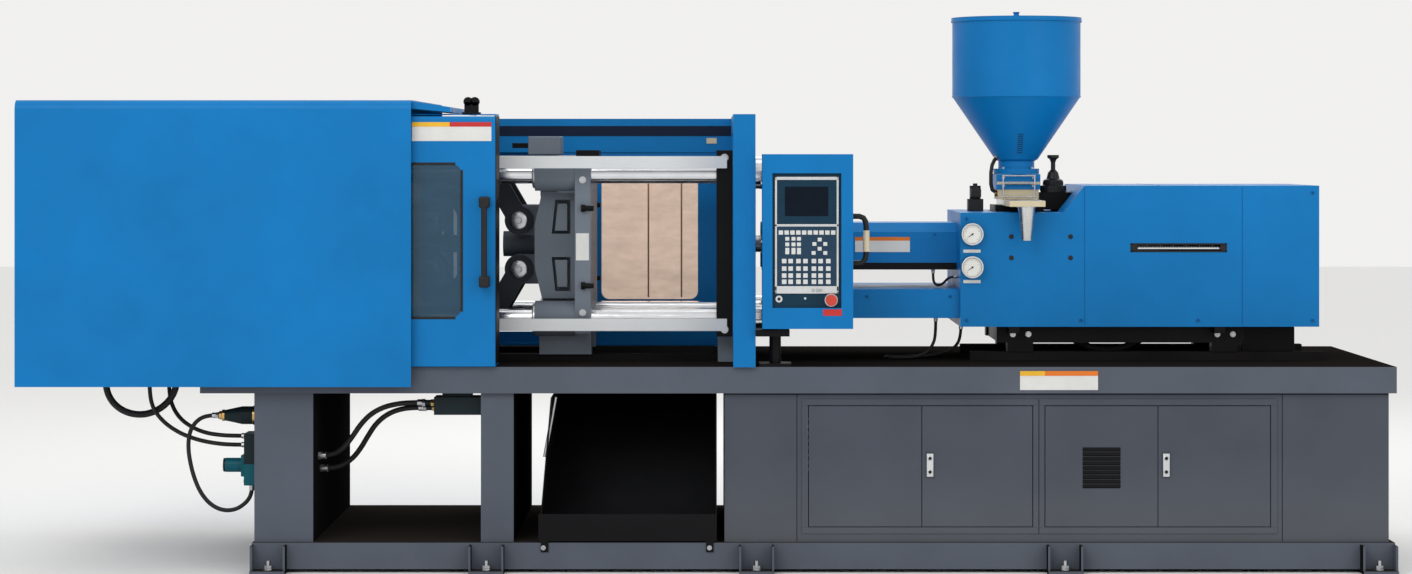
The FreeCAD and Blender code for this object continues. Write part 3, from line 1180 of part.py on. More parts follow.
# ---------------------------------------------------------------- hoses and cables
def route(label, radius, points):
    """A round hose along straight runs joined by the largest tangent arcs."""
    spots = [Vector(*p) for p in points]
    edges, start, radii = [], spots[0], []
    for before, here, after in zip(spots, spots[1:], spots[2:]):
        back, ahead = before - here, after - here
        short = min(back.Length, ahead.Length)
        half = (math.pi - back.getAngle(ahead)) / 2
        reach = 0.45 * short
        radii.append(reach / math.tan(half))
        into, out = here + back.normalize() * reach, here + ahead.normalize() * reach
        chord = (into + out) * 0.5
        away = (chord - here).normalize()
        middle = here + away * (radii[-1] / math.cos(half) - radii[-1])
        edges.append(Part.LineSegment(start, into).toShape())
        edges.append(Part.Arc(into, middle, out).toShape())
        start = out
    edges.append(Part.LineSegment(start, spots[-1]).toShape())
    path = Part.Wire(edges)
    ring = Part.Wire(Part.makeCircle(radius, spots[0], spots[1] - spots[0]))
    tube = path.makePipeShell([ring], True, True)
    wanted = math.pi * radius ** 2 * path.Length
    print("%s: length %.0f, radii %s, volume ratio %.4f" % (
        label, path.Length, [round(r) for r in radii], tube.Volume / wanted))
    item = doc.addObject("Part::Feature", free_name("hose"))
    item.Shape = tube
    item.Placement = FreeCAD.Placement()
    node(label, item)


def hoses():
    """Every visible hose and cable, each along its own route."""
    valve = number("valve_right")
    block_face = valve - 45
    leg = number("leg_a_right")
    nipple = number("leg_b_left") - 215
    bulk = 735
    route("hose_drain", 13, [
        (-2735, -400, bulk), (-2735, -400, 682), (-2716, -401, 630), (-2676, -403, 592),
        (-2624, -405, 574), (-2570, -405, 576), (-2518, -403, 600), (-2480, -401, 640),
        (-2462, -400, 688), (-2462, -400, bulk)])
    route("hose_pilot_a", 8, [
        (-2560, -440, bulk), (-2560, -440, 668), (-2548, -441, 602), (-2505, -444, 548),
        (-2445, -448, 508), (-2375, -452, 482), (-2300, -455, 468), (-2238, -456, 464),
        (block_face, -456, 464)])
    route("hose_pilot_b", 8, [
        (-2500, -360, bulk), (-2500, -360, 670), (-2486, -378, 608), (-2450, -408, 560),
        (-2400, -432, 528), (-2345, -446, 508), (-2285, -454, 500), (-2232, -456, 498),
        (block_face, -456, 498)])
    route("hose_loop", 8, [
        (valve - 150, -500, 580), (-2330, -500, 580), (-2370, -501, 560), (-2396, -503, 520),
        (-2402, -505, 464), (-2394, -508, 404), (-2378, -510, 344), (-2354, -511, 288),
        (-2318, -511, 244), (-2272, -510, 220), (-2222, -507, 222), (-2182, -503, 248),
        (-2160, -500, 284), (-2160, -500, 320)])
    route("hose_under_a", 10, [
        (nipple, -530, 630), (-1552, -530, 630), (-1606, -528, 626), (-1662, -521, 612),
        (-1712, -509, 584), (-1752, -494, 542), (-1784, -478, 494), (-1818, -463, 452),
        (-1864, -450, 422), (leg, -450, 422)])
    route("hose_under_b", 10, [
        (nipple, -480, 608), (-1552, -480, 608), (-1604, -478, 601), (-1654, -470, 580),
        (-1696, -456, 544), (-1728, -438, 496), (-1758, -418, 446), (-1794, -403, 402),
        (-1850, -395, 368), (leg, -395, 368)])
    route("barrel_cable", 5, [
        (446, -128, number("guard_low")), (446, -128, 1090), (448, -133, 1068),
        (460, -145, 1057), (478, -161, 1060), (492, -174, 1076), (508, -182, 1092),
        (number("case_left"), -182, 1092)])
    route("deck_cable", 6, [
        (452, -190, number("lower_low")), (452, -190, 885), (446, -190, 835),
        (418, -190, 797), (370, -190, 780), (316, -191, 778), (274, -182, 778),
        (256, -152, 778), (274, -122, 778), (316, -112, 778), (366, -112, 778),
        (420, -118, 780), (472, -132, 790), (524, -148, 808), (552, -162, 850),
        (552, -162, number("case_low"))])
    route("carriage_hose", 14, [
        (number("feed_right"), -120, 872), (930, -120, 872), (980, -121, 854),
        (1026, -123, 828), (1076, -125, 808), (1130, -126, 803), (1184, -125, 810),
        (1232, -123, 831), (1277, -121, 855), (1324, -120, 872),
        (number("hose_end"), -120, 872)])


def check_and_write():
    """Stop on any failed object or bad shape, then write one file for each sub-part."""
    doc.recompute()
    failed = [o.Name for o in doc.Objects if "Invalid" in o.State or "Error" in o.State]
    if failed:
        raise ValueError("failed objects: %s" % failed)
    for label, item in NODES.items():
        if item.Shape.isNull() or not item.Shape.isValid() or not item.Shape.Solids:
            raise ValueError("bad shape: %s" % label)
    os.makedirs("parts", exist_ok=True)
    for label, item in NODES.items():
        item.Shape.exportStep(os.path.join("parts", label + ".step"))
    print("%d nodes" % len(NODES))


base_frame()
bed_deck()
cabinet_shell()
door("door_a", "bay_a_left", "bay_a_mid + door_gap / 2", -1)
door("door_b", "bay_a_mid - door_gap / 2", "bay_a_right", 1, latch=True)
door("door_c", "bay_b_left", "bay_b_mid + door_gap / 2", -1, vent=True)
door("door_d", "bay_b_mid - door_gap / 2", "bay_b_right", 1, latch=True)
chute()
fixed_platen()
tie_bars()
guide_ways()
tail_platen()
clamp_cylinder()
crosshead()
toggle()
moving_platen()
ejector()
rear_cover()
gate_rails()
front_gate()
gate_trim()
guard_portal()
rear_gate()
control_box()
panel_stand()
carriage_frame()
barrel()
screw()
injection_cylinders()
injection_drive()
injection_housing()
barrel_guards()
gauges()
hopper()
hopper_base()
shutoff_gate()
drain_chute()
valve_knob()
cabinet_contents()
valve_group()
hoses()
check_and_write()
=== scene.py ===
# Looks of the injection moulding machine. Metres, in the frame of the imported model.
import bpy
import bmesh
import math
from mathutils import Matrix, Vector


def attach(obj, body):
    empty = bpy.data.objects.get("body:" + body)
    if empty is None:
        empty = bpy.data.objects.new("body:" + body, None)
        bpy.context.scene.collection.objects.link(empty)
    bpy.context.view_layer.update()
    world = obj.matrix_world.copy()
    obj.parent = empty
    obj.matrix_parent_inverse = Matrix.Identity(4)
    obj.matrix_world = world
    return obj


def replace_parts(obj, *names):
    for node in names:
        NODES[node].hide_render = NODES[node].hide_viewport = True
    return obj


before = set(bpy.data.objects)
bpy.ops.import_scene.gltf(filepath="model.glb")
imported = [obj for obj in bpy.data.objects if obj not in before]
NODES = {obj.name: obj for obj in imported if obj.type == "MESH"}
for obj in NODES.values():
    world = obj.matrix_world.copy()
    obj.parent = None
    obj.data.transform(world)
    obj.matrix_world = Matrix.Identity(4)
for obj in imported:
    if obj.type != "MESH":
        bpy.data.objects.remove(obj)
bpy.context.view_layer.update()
AXIS_Z = 1.215        # height of the screw and clamp axis
BAR = 0.28            # tie bars' distance from the axis, across and up
HOPPER_X = 0.7837
CORNERS = [(a, b) for a in (-1, 1) for b in (-1, 1)]


# ---------------------------------------------------------------- camera
camera_data = bpy.data.cameras.new("camera")
camera = bpy.data.objects.new("camera", camera_data)
bpy.context.collection.objects.link(camera)
camera.location = (-0.4219, -12.30, 1.5844)
camera.rotation_euler = (math.radians(90), 0, 0)
camera_data.sensor_width = 36
camera_data.lens = 79.42
camera_data.shift_x = -0.0035
camera_data.shift_y = -0.0970
camera_data.clip_end = 100
bpy.context.scene.camera = camera
bpy.context.scene.view_settings.view_transform = "Standard"


# ---------------------------------------------------------------- materials
def new_material(name):
    material = bpy.data.materials.new(name)
    material.use_nodes = True
    tree = material.node_tree
    return material, tree, tree.nodes["Principled BSDF"]


def noise(tree, scale, detail=4.0, rough=0.55, stretch=None):
    """Object-space noise, stretched along an axis if asked."""
    place = tree.nodes.new("ShaderNodeTexCoord")
    field = tree.nodes.new("ShaderNodeTexNoise")
    field.inputs["Scale"].default_value = scale
    field.inputs["Detail"].default_value = detail
    field.inputs["Roughness"].default_value = rough
    if stretch:
        mapping = tree.nodes.new("ShaderNodeMapping")
        mapping.inputs["Scale"].default_value = stretch
        tree.links.new(place.outputs["Object"], mapping.inputs["Vector"])
        tree.links.new(mapping.outputs["Vector"], field.inputs["Vector"])
    else:
        tree.links.new(place.outputs["Object"], field.inputs["Vector"])
    return field.outputs["Fac"]


def ramp(tree, source, stops):
    node = tree.nodes.new("ShaderNodeValToRGB")
    node.color_ramp.elements[0].position = stops[0][0]
    node.color_ramp.elements[0].color = (*stops[0][1], 1)
    node.color_ramp.elements[1].position = stops[-1][0]
    node.color_ramp.elements[1].color = (*stops[-1][1], 1)
    for position, colour in stops[1:-1]:
        node.color_ramp.elements.new(position).color = (*colour, 1)
    tree.links.new(source, node.inputs["Fac"])
    return node.outputs["Color"]


def spread(tree, source, start, end, to_low, to_high):
    node = tree.nodes.new("ShaderNodeMapRange")
    node.inputs["From Min"].default_value = start
    node.inputs["From Max"].default_value = end
    node.inputs["To Min"].default_value = to_low
    node.inputs["To Max"].default_value = to_high
    tree.links.new(source, node.inputs["Value"])
    return node.outputs["Result"]


def mix(tree, share, first, second):
    node = tree.nodes.new("ShaderNodeMix")
    node.data_type = "RGBA"
    tree.links.new(share, node.inputs["Factor"])
    tree.links.new(first, node.inputs["A"])
    if isinstance(second, tuple):
        node.inputs["B"].default_value = (*second, 1)
    else:
        tree.links.new(second, node.inputs["B"])
    return node.outputs["Result"]


def split(tree, vector):
    """X, Y and Z of a vector."""
    node = tree.nodes.new("ShaderNodeSeparateXYZ")
    tree.links.new(vector, node.inputs["Vector"])
    return node.outputs


def figure(tree, operation, *sources):
    node = tree.nodes.new("ShaderNodeMath")
    node.operation = operation
    for place, source in zip(node.inputs, sources):
        tree.links.new(source, place)
    return node.outputs[0]


def bump(tree, shader, height, strength, distance):
    node = tree.nodes.new("ShaderNodeBump")
    node.inputs["Strength"].default_value = strength
    node.inputs["Distance"].default_value = distance
    tree.links.new(height, node.inputs["Height"])
    tree.links.new(node.outputs["Normal"], shader.inputs["Normal"])


def shade(colour, factor):
    return tuple(min(1.0, c * factor) for c in colour)


def paint(name, colour, rough=0.38, vary=0.10, grain=420, depth=0.00025, dust=0.0, coat=0.03,
          shine=0.12):
    """Sprayed paint: orange-peel bump, cloudy tone, faint scuffs, optional dust below."""
    material, tree, shader = new_material(name)
    cloud = noise(tree, 2.3, 5, 0.6)
    tone = ramp(tree, cloud, [(0.3, shade(colour, 1 - vary)), (0.5, colour),
                              (0.72, shade(colour, 1 + vary))])
    scuff = spread(tree, noise(tree, 38, 8, 0.72, (1, 1, 0.35)), 0.66, 0.78, 0, 0.3)
    tone = mix(tree, scuff, tone, shade(colour, 1.6))
    if dust:
        place = tree.nodes.new("ShaderNodeTexCoord")
        settled = spread(tree, split(tree, place.outputs["Object"])["Z"], 0.0, 0.45, dust, 0)
        tone = mix(tree, settled, tone, (0.17, 0.17, 0.165))
    tree.links.new(tone, shader.inputs["Base Color"])
    sheen = spread(tree, noise(tree, 7, 6, 0.6), 0.3, 0.7, rough - 0.06, rough + 0.09)
    tree.links.new(sheen, shader.inputs["Roughness"])
    shader.inputs["Specular IOR Level"].default_value = shine
    shader.inputs["Coat Weight"].default_value = coat
    shader.inputs["Coat Roughness"].default_value = 0.25
    bump(tree, shader, noise(tree, grain, 2, 0.5), 0.25, depth)
    return material


def metal(name, colour, rough=0.25, stretch=(1, 1, 1), grain=300, strength=0.15, dirt=0.25):
    """Machined or drawn metal: fine directional grain and smudges."""
    material, tree, shader = new_material(name)
    cloud = noise(tree, 6, 6, 0.65)
    tone = ramp(tree, cloud, [(0.32, shade(colour, 1 - dirt)), (0.55, colour),
                              (0.75, shade(colour, 1.08))])
    tree.links.new(tone, shader.inputs["Base Color"])
    shader.inputs["Metallic"].default_value = 1.0
    lines = noise(tree, grain, 3, 0.5, stretch)
    rub = spread(tree, lines, 0.3, 0.7, rough - 0.07, rough + 0.1)
    tree.links.new(rub, shader.inputs["Roughness"])
    bump(tree, shader, lines, strength, 0.0002)
    return material


def plastic(name, colour, rough=0.45, grain=900, vary=0.12, coat=0.0, shine=0.25):
    """Moulded plastic or rubber: fine grain and a slight bloom."""
    material, tree, shader = new_material(name)
    cloud = noise(tree, 14, 5, 0.6)
    tone = ramp(tree, cloud, [(0.3, shade(colour, 1 - vary)), (0.7, shade(colour, 1 + vary))])
    tree.links.new(tone, shader.inputs["Base Color"])
    gloss = spread(tree, noise(tree, 30, 5, 0.6), 0.3, 0.7, rough - 0.07, rough + 0.1)
    tree.links.new(gloss, shader.inputs["Roughness"])
    shader.inputs["Specular IOR Level"].default_value = shine
    shader.inputs["Coat Weight"].default_value = coat
    bump(tree, shader, noise(tree, grain, 2, 0.5), 0.25, 0.0002)
    return material


def pane(name, colour, alpha, rough=0.06, through=0.0):
    """Clear sheet: tint, wiped smears and faint scratches; the gate window's dark tint is painted
    shade.
    """
    material, tree, shader = new_material(name)
    smear = noise(tree, 9, 6, 0.7, (1, 1, 2.5))
    tone = ramp(tree, smear, [(0.3, shade(colour, 0.85)), (0.7, shade(colour, 1.1))])
    tree.links.new(tone, shader.inputs["Base Color"])
    tree.links.new(spread(tree, smear, 0.4, 0.75, rough, rough + 0.12), shader.inputs["Roughness"])
    shader.inputs["Alpha"].default_value = alpha
    if through:
        shader.inputs["Transmission Weight"].default_value = through
        shader.inputs["IOR"].default_value = 1.08
    bump(tree, shader, noise(tree, 160, 3, 0.5, (1, 1, 0.1)), 0.05, 0.0001)
    material.surface_render_method = "BLENDED"
    return material


def faced(name, colour, other, rough, axis, top=None):
    """Paint whose faces along one axis have another tone; on the base it is painted shade inside
    the frame.
    """
    material = paint(name, colour, rough=0.4, coat=0.0, shine=0.0)
    tree = material.node_tree
    shader = tree.nodes["Principled BSDF"]
    facing = tree.nodes.new("ShaderNodeNewGeometry")
    normal = split(tree, facing.outputs["Normal"])
    share = spread(tree, figure(tree, "ABSOLUTE", normal[axis]), 0.85, 0.95, 0, 1)
    # on the base the X faces darken only between the frame's outer ends: painted shade of its
    # interior
    if axis == "X":
        place = split(tree, facing.outputs["Position"])["X"]
        for start, end, outer, inner in ((-2.125, -2.115, 0, 1), (2.06, 2.07, 1, 0)):
            inner_painted_shade = spread(tree, place, start, end, outer, inner)
            share = figure(tree, "MULTIPLY", share, inner_painted_shade)
    old = shader.inputs["Base Color"].links[0].from_socket
    tone = mix(tree, share, old, other)
    if top:
        tone = mix(tree, spread(tree, normal["Z"], 0.85, 0.95, 0, 1), tone, top)
    tree.links.new(tone, shader.inputs["Base Color"])
    if axis == "Z":
        gloss = spread(tree, noise(tree, 6, 6, 0.65), 0.35, 0.7, rough, rough + 0.16)
        blend = tree.nodes.new("ShaderNodeMix")
        tree.links.new(share, blend.inputs[0])
        tree.links.new(shader.inputs["Roughness"].links[0].from_socket, blend.inputs[2])
        tree.links.new(gloss, blend.inputs[3])
        tree.links.new(blend.outputs[0], shader.inputs["Roughness"])
    return material


BED = (0.095, 0.108, 0.135)
MAT = {
    "blue": paint("blue_paint", (0.003, 0.163, 0.44)),
    "blue_dark": paint("blue_paint_dark", (0.003, 0.10, 0.30)),
    "bed": paint("bed_paint", BED, rough=0.45, dust=0.35),
    "cabinet": paint("cabinet_paint", (0.064, 0.074, 0.095), rough=0.42, dust=0.3),
    "deck": faced("deck_paint", BED, (0.014, 0.012, 0.011), 0.10, "Z"),
    # base: the near-black X faces inside the frame are painted shade
    "base": faced("base_paint_inner_painted_shade", BED, (0.010, 0.010, 0.011), 0.5, "X", (0.030, 0.026, 0.023)),
    "black": paint("black_paint", (0.006, 0.006, 0.007), rough=0.42, vary=0.25, shine=0.08),
    "way": paint("dark_ways", (0.013, 0.012, 0.012), rough=0.5, vary=0.25, shine=0.0),
    "white": paint("white_rail", (0.60, 0.62, 0.63), rough=0.32, vary=0.06),
    "cast": paint("cast_paint", (0.150, 0.176, 0.212), rough=0.45, grain=110, depth=0.0012),
    # lighter copy of the cast paint: painted highlight for the moving platen's ribs
    "cast_painted_highlight": paint("cast_panel_painted_highlight", (0.185, 0.215, 0.255), rough=0.45, grain=110, depth=0.0008),
    # near-black navy used as a painted shadow
    "shadow": paint("painted_shadow_band", (0.004, 0.012, 0.035), rough=0.5),
    "link": paint("link_paint", (0.022, 0.026, 0.034), rough=0.5, grain=110, depth=0.001),
    "chrome": metal("chrome_bar", (0.72, 0.73, 0.75), rough=0.14, stretch=(0.05, 1, 1),
                    dirt=0.12),
    "ground": metal("ground_steel", (0.52, 0.53, 0.55), rough=0.3, stretch=(0.1, 1, 1)),
    "stainless": metal("stainless", (0.62, 0.62, 0.62), rough=0.27, stretch=(1, 1, 0.08),
                       dirt=0.15),
    "brass": metal("brass", (0.65, 0.42, 0.16), rough=0.3),
    "copper": metal("copper", (0.62, 0.27, 0.14), rough=0.33),
    # gate window: the dark blue tint at 0.72 alpha is painted shade of the dark interior behind it
    "clear": pane("clear_pane", (0.020, 0.072, 0.125), 0.72),
    "bronze": pane("bronze_pane", (0.755, 0.58, 0.475), 1.0, 0.14, 0.92),
    "bronze_rib": plastic("bronze_rib", (0.30, 0.18, 0.10), rough=0.3),
    "knob": plastic("black_plastic", (0.012, 0.012, 0.013), rough=0.4),
    "red": plastic("red_plastic", (0.55, 0.055, 0.035), rough=0.32, coat=0.2),
    "hose": plastic("rubber_hose", (0.014, 0.014, 0.015), rough=0.55, vary=0.3),
    "cream": paint("cream_flange", (0.60, 0.52, 0.36), rough=0.5, grain=160, depth=0.0006),
    "teal": paint("teal_valve", (0.004, 0.085, 0.115), rough=0.4),
    "valve": paint("valve_dark", (0.010, 0.018, 0.022), rough=0.4),
    "motor": paint("motor_paint", (0.06, 0.12, 0.2), rough=0.5, grain=140, depth=0.0008),
    "grey": plastic("grey_panel", (0.42, 0.43, 0.44), rough=0.45, vary=0.06),
    "silver": metal("panel_frame", (0.66, 0.67, 0.68), rough=0.32, stretch=(1, 1, 0.1),
                    dirt=0.08),
    "screen": plastic("screen_bezel", (0.008, 0.034, 0.062), rough=0.42, shine=0.1),
    "lcd": plastic("screen_glass", (0.002, 0.006, 0.013), rough=0.22, shine=0.1),
    "membrane": plastic("keypad_sheet", (0.020, 0.048, 0.085), rough=0.5, shine=0.1),
    "key_white": plastic("keys_white", (0.62, 0.63, 0.62), rough=0.5, vary=0.05),
    "key_red": plastic("keys_red", (0.5, 0.03, 0.03), rough=0.5, vary=0.05),
    "plate": plastic("blank_plate", (0.66, 0.66, 0.64), rough=0.5, vary=0.05),
    "amber": plastic("amber_field", (0.75, 0.42, 0.03), rough=0.5, vary=0.06),
    "orange": plastic("orange_field", (0.68, 0.17, 0.02), rough=0.5, vary=0.06),
    "dial": plastic("dial_face", (0.72, 0.72, 0.68), rough=0.5, vary=0.04),
    "floor": plastic("studio_floor", (0.86, 0.86, 0.855), rough=0.95, vary=0.01),
}

FINISH = {
    "base": "base_frame",
    "cabinet": "cabinet_shell door_a door_b door_c door_d",
    "deck": "bed_deck",
    "black": "chute panel_stand carriage_frame",
    "motor": "pump_set",
    "grey": "electrical_rack",
    "blue": "rear_cover guard_portal front_gate rear_gate control_box injection_housing "
            "barrel_guard beam_cover hopper hopper_lid",
    "white": "gate_rails",
    "cast": "fixed_platen tail_platen clamp_cylinder moving_platen injection_drive",
    "link": "rear_links_upper rear_links_lower front_links_upper front_links_lower "
            "crosshead_links_upper crosshead_links_lower",
    "chrome": "tie_bars",
    "way": "guide_ways",
    "ground": "crosshead ejector injection_cylinders barrel screw",
    "clear": "gate_window",
    "bronze": "rear_window",
    "knob": "gate_handle valve_knob gauges",
    "red": "e_stop",
    "stainless": "shutoff_gate drain_chute",
    "cream": "hopper_base",
    "valve": "valve_group",
}


for finish, names in FINISH.items():
    for name in names.split():
        NODES[name].data.materials.clear()
        NODES[name].data.materials.append(MAT[finish])
        for side in NODES[name].material_slots:
            side.material = MAT[finish]


def piece(name, mesh, key, body, smooth=False, bevel=0.0):
    """An object from a finished bmesh, with its finish, riding on a body."""
    data = bpy.data.meshes.new(name)
    mesh.normal_update()
    mesh.to_mesh(data)
    mesh.free()
    obj = bpy.data.objects.new(name, data)
    bpy.context.collection.objects.link(obj)
    data.materials.append(MAT[key])
    if bevel:
        edge = obj.modifiers.new("edge", "BEVEL")
        edge.width = bevel
        edge.segments = 2
        edge.limit_method = "ANGLE"
    if smooth:
        data.shade_smooth()
        data.set_sharp_from_angle(angle=math.radians(40))
    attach(obj, body)
    return obj


def add_box(mesh, start, end):
    """A box between two corners."""
    made = bmesh.ops.create_cube(mesh, size=1)["verts"]
    a, b = Vector(start), Vector(end)
    size = b - a
    centre = (a + b) / 2
    for vert in made:
        vert.co = centre + Vector((vert.co[i] * size[i] for i in range(3)))
    return made


def add_rod(mesh, centre, axis, radius, length, sides=24, tip=None):
    """A cylinder or cone centred on a point."""
    turn = Vector((0, 0, 1)).rotation_difference(Vector(axis)).to_matrix().to_4x4()
    place = Matrix.Translation(Vector(centre)) @ turn
    bmesh.ops.create_cone(mesh, cap_ends=True, segments=sides, radius1=radius,
                          radius2=radius if tip is None else tip, depth=length, matrix=place)


def skin(mesh, rings, closed=False):
    """Faces between rings of points, closed into a loop or capped at both ends."""
    for a, b in zip(rings, rings[1:] + (rings[:1] if closed else [])):
        for i in range(len(a)):
            j = (i + 1) % len(a)
            mesh.faces.new((a[i], a[j], b[j], b[i]))
    if not closed:
        mesh.faces.new(rings[0][::-1])
        mesh.faces.new(rings[-1])


def add_turned(mesh, centre, axis, profile, sides=40, closed=False):
    """A solid of revolution from (radius, height) pairs along an axis."""
    turn = Vector((0, 0, 1)).rotation_difference(Vector(axis)).to_matrix()
    rings = []
    for radius, height in profile:
        ring = []
        for i in range(sides):
            angle = 2 * math.pi * i / sides
            spot = Vector((radius * math.cos(angle), radius * math.sin(angle), height))
            ring.append(mesh.verts.new(Vector(centre) + turn @ spot))
        rings.append(ring)
    skin(mesh, rings, closed)


def add_ring(mesh, centre, axis, outer, inner, length, sides=40):
    """A short tube centred on a point."""
    half = length / 2
    add_turned(mesh, centre, axis, [(outer, -half), (outer, half), (inner, half), (inner, -half)],
               sides, closed=True)


def add_pipe(mesh, spots, radius, sides=16):
    """A round bar swept along a line of points."""
    spots = [Vector(p) for p in spots]
    rings, side = [], None
    for i, spot in enumerate(spots):
        way = (spots[min(i + 1, len(spots) - 1)] - spots[max(i - 1, 0)]).normalized()
        if side is None:
            side = way.orthogonal().normalized()
        side = (side - way * side.dot(way)).normalized()
        other = way.cross(side)
        angles = [2 * math.pi * k / sides for k in range(sides)]
        rings.append([mesh.verts.new(spot + radius * (side * math.cos(t) + other * math.sin(t)))
                      for t in angles])
    skin(mesh, rings)


def add_bolt(mesh, centre, axis, radius, depth):
    """A hex head on a washer."""
    axis = Vector(axis)
    centre = Vector(centre)
    add_rod(mesh, centre + axis * depth * 0.1, axis, radius * 1.25, depth * 0.2, 20)
    add_rod(mesh, centre + axis * depth * 0.6, axis, radius, depth * 0.8, 6)


def add_screw(mesh, centre, axis, radius, depth):
    """A round socket head with its hexagonal recess."""
    axis = Vector(axis)
    centre = Vector(centre)
    add_ring(mesh, centre + axis * depth / 2, axis, radius, radius * 0.5, depth, 20)
    add_rod(mesh, centre + axis * depth * 0.2, axis, radius * 0.5, depth * 0.4, 6)


def boxes(name, rooms, key, body, bevel=0.001):
    """One piece made of boxes."""
    mesh = bmesh.new()
    for start, end in rooms:
        add_box(mesh, start, end)
    return piece(name, mesh, key, body, bevel=bevel)


# ---------------------------------------------------------------- hoses and cables
def hose(node, body, diameter, route):
    """A smooth hose along a route in mm, with crimped ends, in place of its plain solid."""
    data = bpy.data.curves.new(node + "_curve", "CURVE")
    data.dimensions = "3D"
    spline = data.splines.new("NURBS")
    spline.points.add(len(route) - 1)
    for point, spot in zip(spline.points, route):
        point.co = (*(c / 1000 for c in spot), 1)
    spline.order_u = 3
    spline.use_endpoint_u = True
    data.resolution_u = 12
    obj = bpy.data.objects.new(node + "_hose", data)
    bpy.context.collection.objects.link(obj)
    line = obj.to_mesh()
    spots = [v.co.copy() for v in line.vertices]
    obj.to_mesh_clear()
    data.bevel_depth = diameter / 2
    data.bevel_resolution = 5
    data.use_fill_caps = True
    data.materials.append(MAT["hose"])
    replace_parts(obj, node)
    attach(obj, body)
    ends = bmesh.new()
    for spot, after in ((spots[0], spots[2]), (spots[-1], spots[-3])):
        way = (after - spot).normalized()
        reach = diameter * 1.5
        add_rod(ends, spot + way * reach * 0.5, way, diameter * 0.66, reach, 20)
        add_rod(ends, spot + way * reach * 0.2, way, diameter * 0.8, reach * 0.4, 6)
    piece(node + "_fittings", ends, "ground", body, smooth=True, bevel=0.0006)


hose("hose_drain", "bed", 0.026, [
    (-2735, -400, 735), (-2735, -400, 682), (-2716, -401, 630), (-2676, -403, 592),
    (-2624, -405, 574), (-2570, -405, 576), (-2518, -403, 600), (-2480, -401, 640),
    (-2462, -400, 688), (-2462, -400, 735)])
hose("hose_pilot_a", "bed", 0.016, [
    (-2560, -440, 735), (-2560, -440, 668), (-2548, -441, 602), (-2505, -444, 548),
    (-2445, -448, 508), (-2375, -452, 482), (-2300, -455, 468), (-2238, -456, 464),
    (-2182, -456, 464)])
hose("hose_pilot_b", "bed", 0.016, [
    (-2500, -360, 735), (-2500, -360, 670), (-2486, -378, 608), (-2450, -408, 560),
    (-2400, -432, 528), (-2345, -446, 508), (-2285, -454, 500), (-2232, -456, 498),
    (-2182, -456, 498)])
hose("hose_loop", "bed", 0.016, [
    (-2287, -500, 580), (-2330, -500, 580), (-2370, -501, 560), (-2396, -503, 520),
    (-2402, -505, 464), (-2394, -508, 404), (-2378, -510, 344), (-2354, -511, 288),
    (-2318, -511, 244), (-2272, -510, 220), (-2222, -507, 222), (-2182, -503, 248),
    (-2160, -500, 284), (-2160, -500, 320)])
hose("hose_under_a", "bed", 0.020, [
    (-1501, -530, 630), (-1552, -530, 630), (-1606, -528, 626), (-1662, -521, 612),
    (-1712, -509, 584), (-1752, -494, 542), (-1784, -478, 494), (-1818, -463, 452),
    (-1864, -450, 422), (-1916, -450, 422)])
hose("hose_under_b", "bed", 0.020, [
    (-1501, -480, 608), (-1552, -480, 608), (-1604, -478, 601), (-1654, -470, 580),
    (-1696, -456, 544), (-1728, -438, 496), (-1758, -418, 446), (-1794, -403, 402),
    (-1850, -395, 368), (-1916, -395, 368)])
hose("barrel_cable", "carriage", 0.010, [
    (446, -128, 1118), (446, -128, 1090), (448, -133, 1068), (460, -145, 1057),
    (478, -161, 1060), (492, -174, 1076), (508, -182, 1092), (536.5, -182, 1092)])
hose("deck_cable", "carriage", 0.012, [
    (452, -190, 937), (452, -190, 885), (446, -190, 835), (418, -190, 797),
    (370, -190, 780), (316, -191, 778), (274, -182, 778), (256, -152, 778),
    (274, -122, 778), (316, -112, 778), (366, -112, 778), (420, -118, 780),
    (472, -132, 790), (524, -148, 808), (552, -162, 850), (552, -162, 905.3)])
hose("carriage_hose", "carriage", 0.028, [
    (880, -120, 872), (930, -120, 872), (980, -121, 854), (1026, -123, 828),
    (1076, -125, 808), (1130, -126, 803), (1184, -125, 810), (1232, -123, 831),
    (1277, -121, 855), (1324, -120, 872), (1370, -120, 872)])


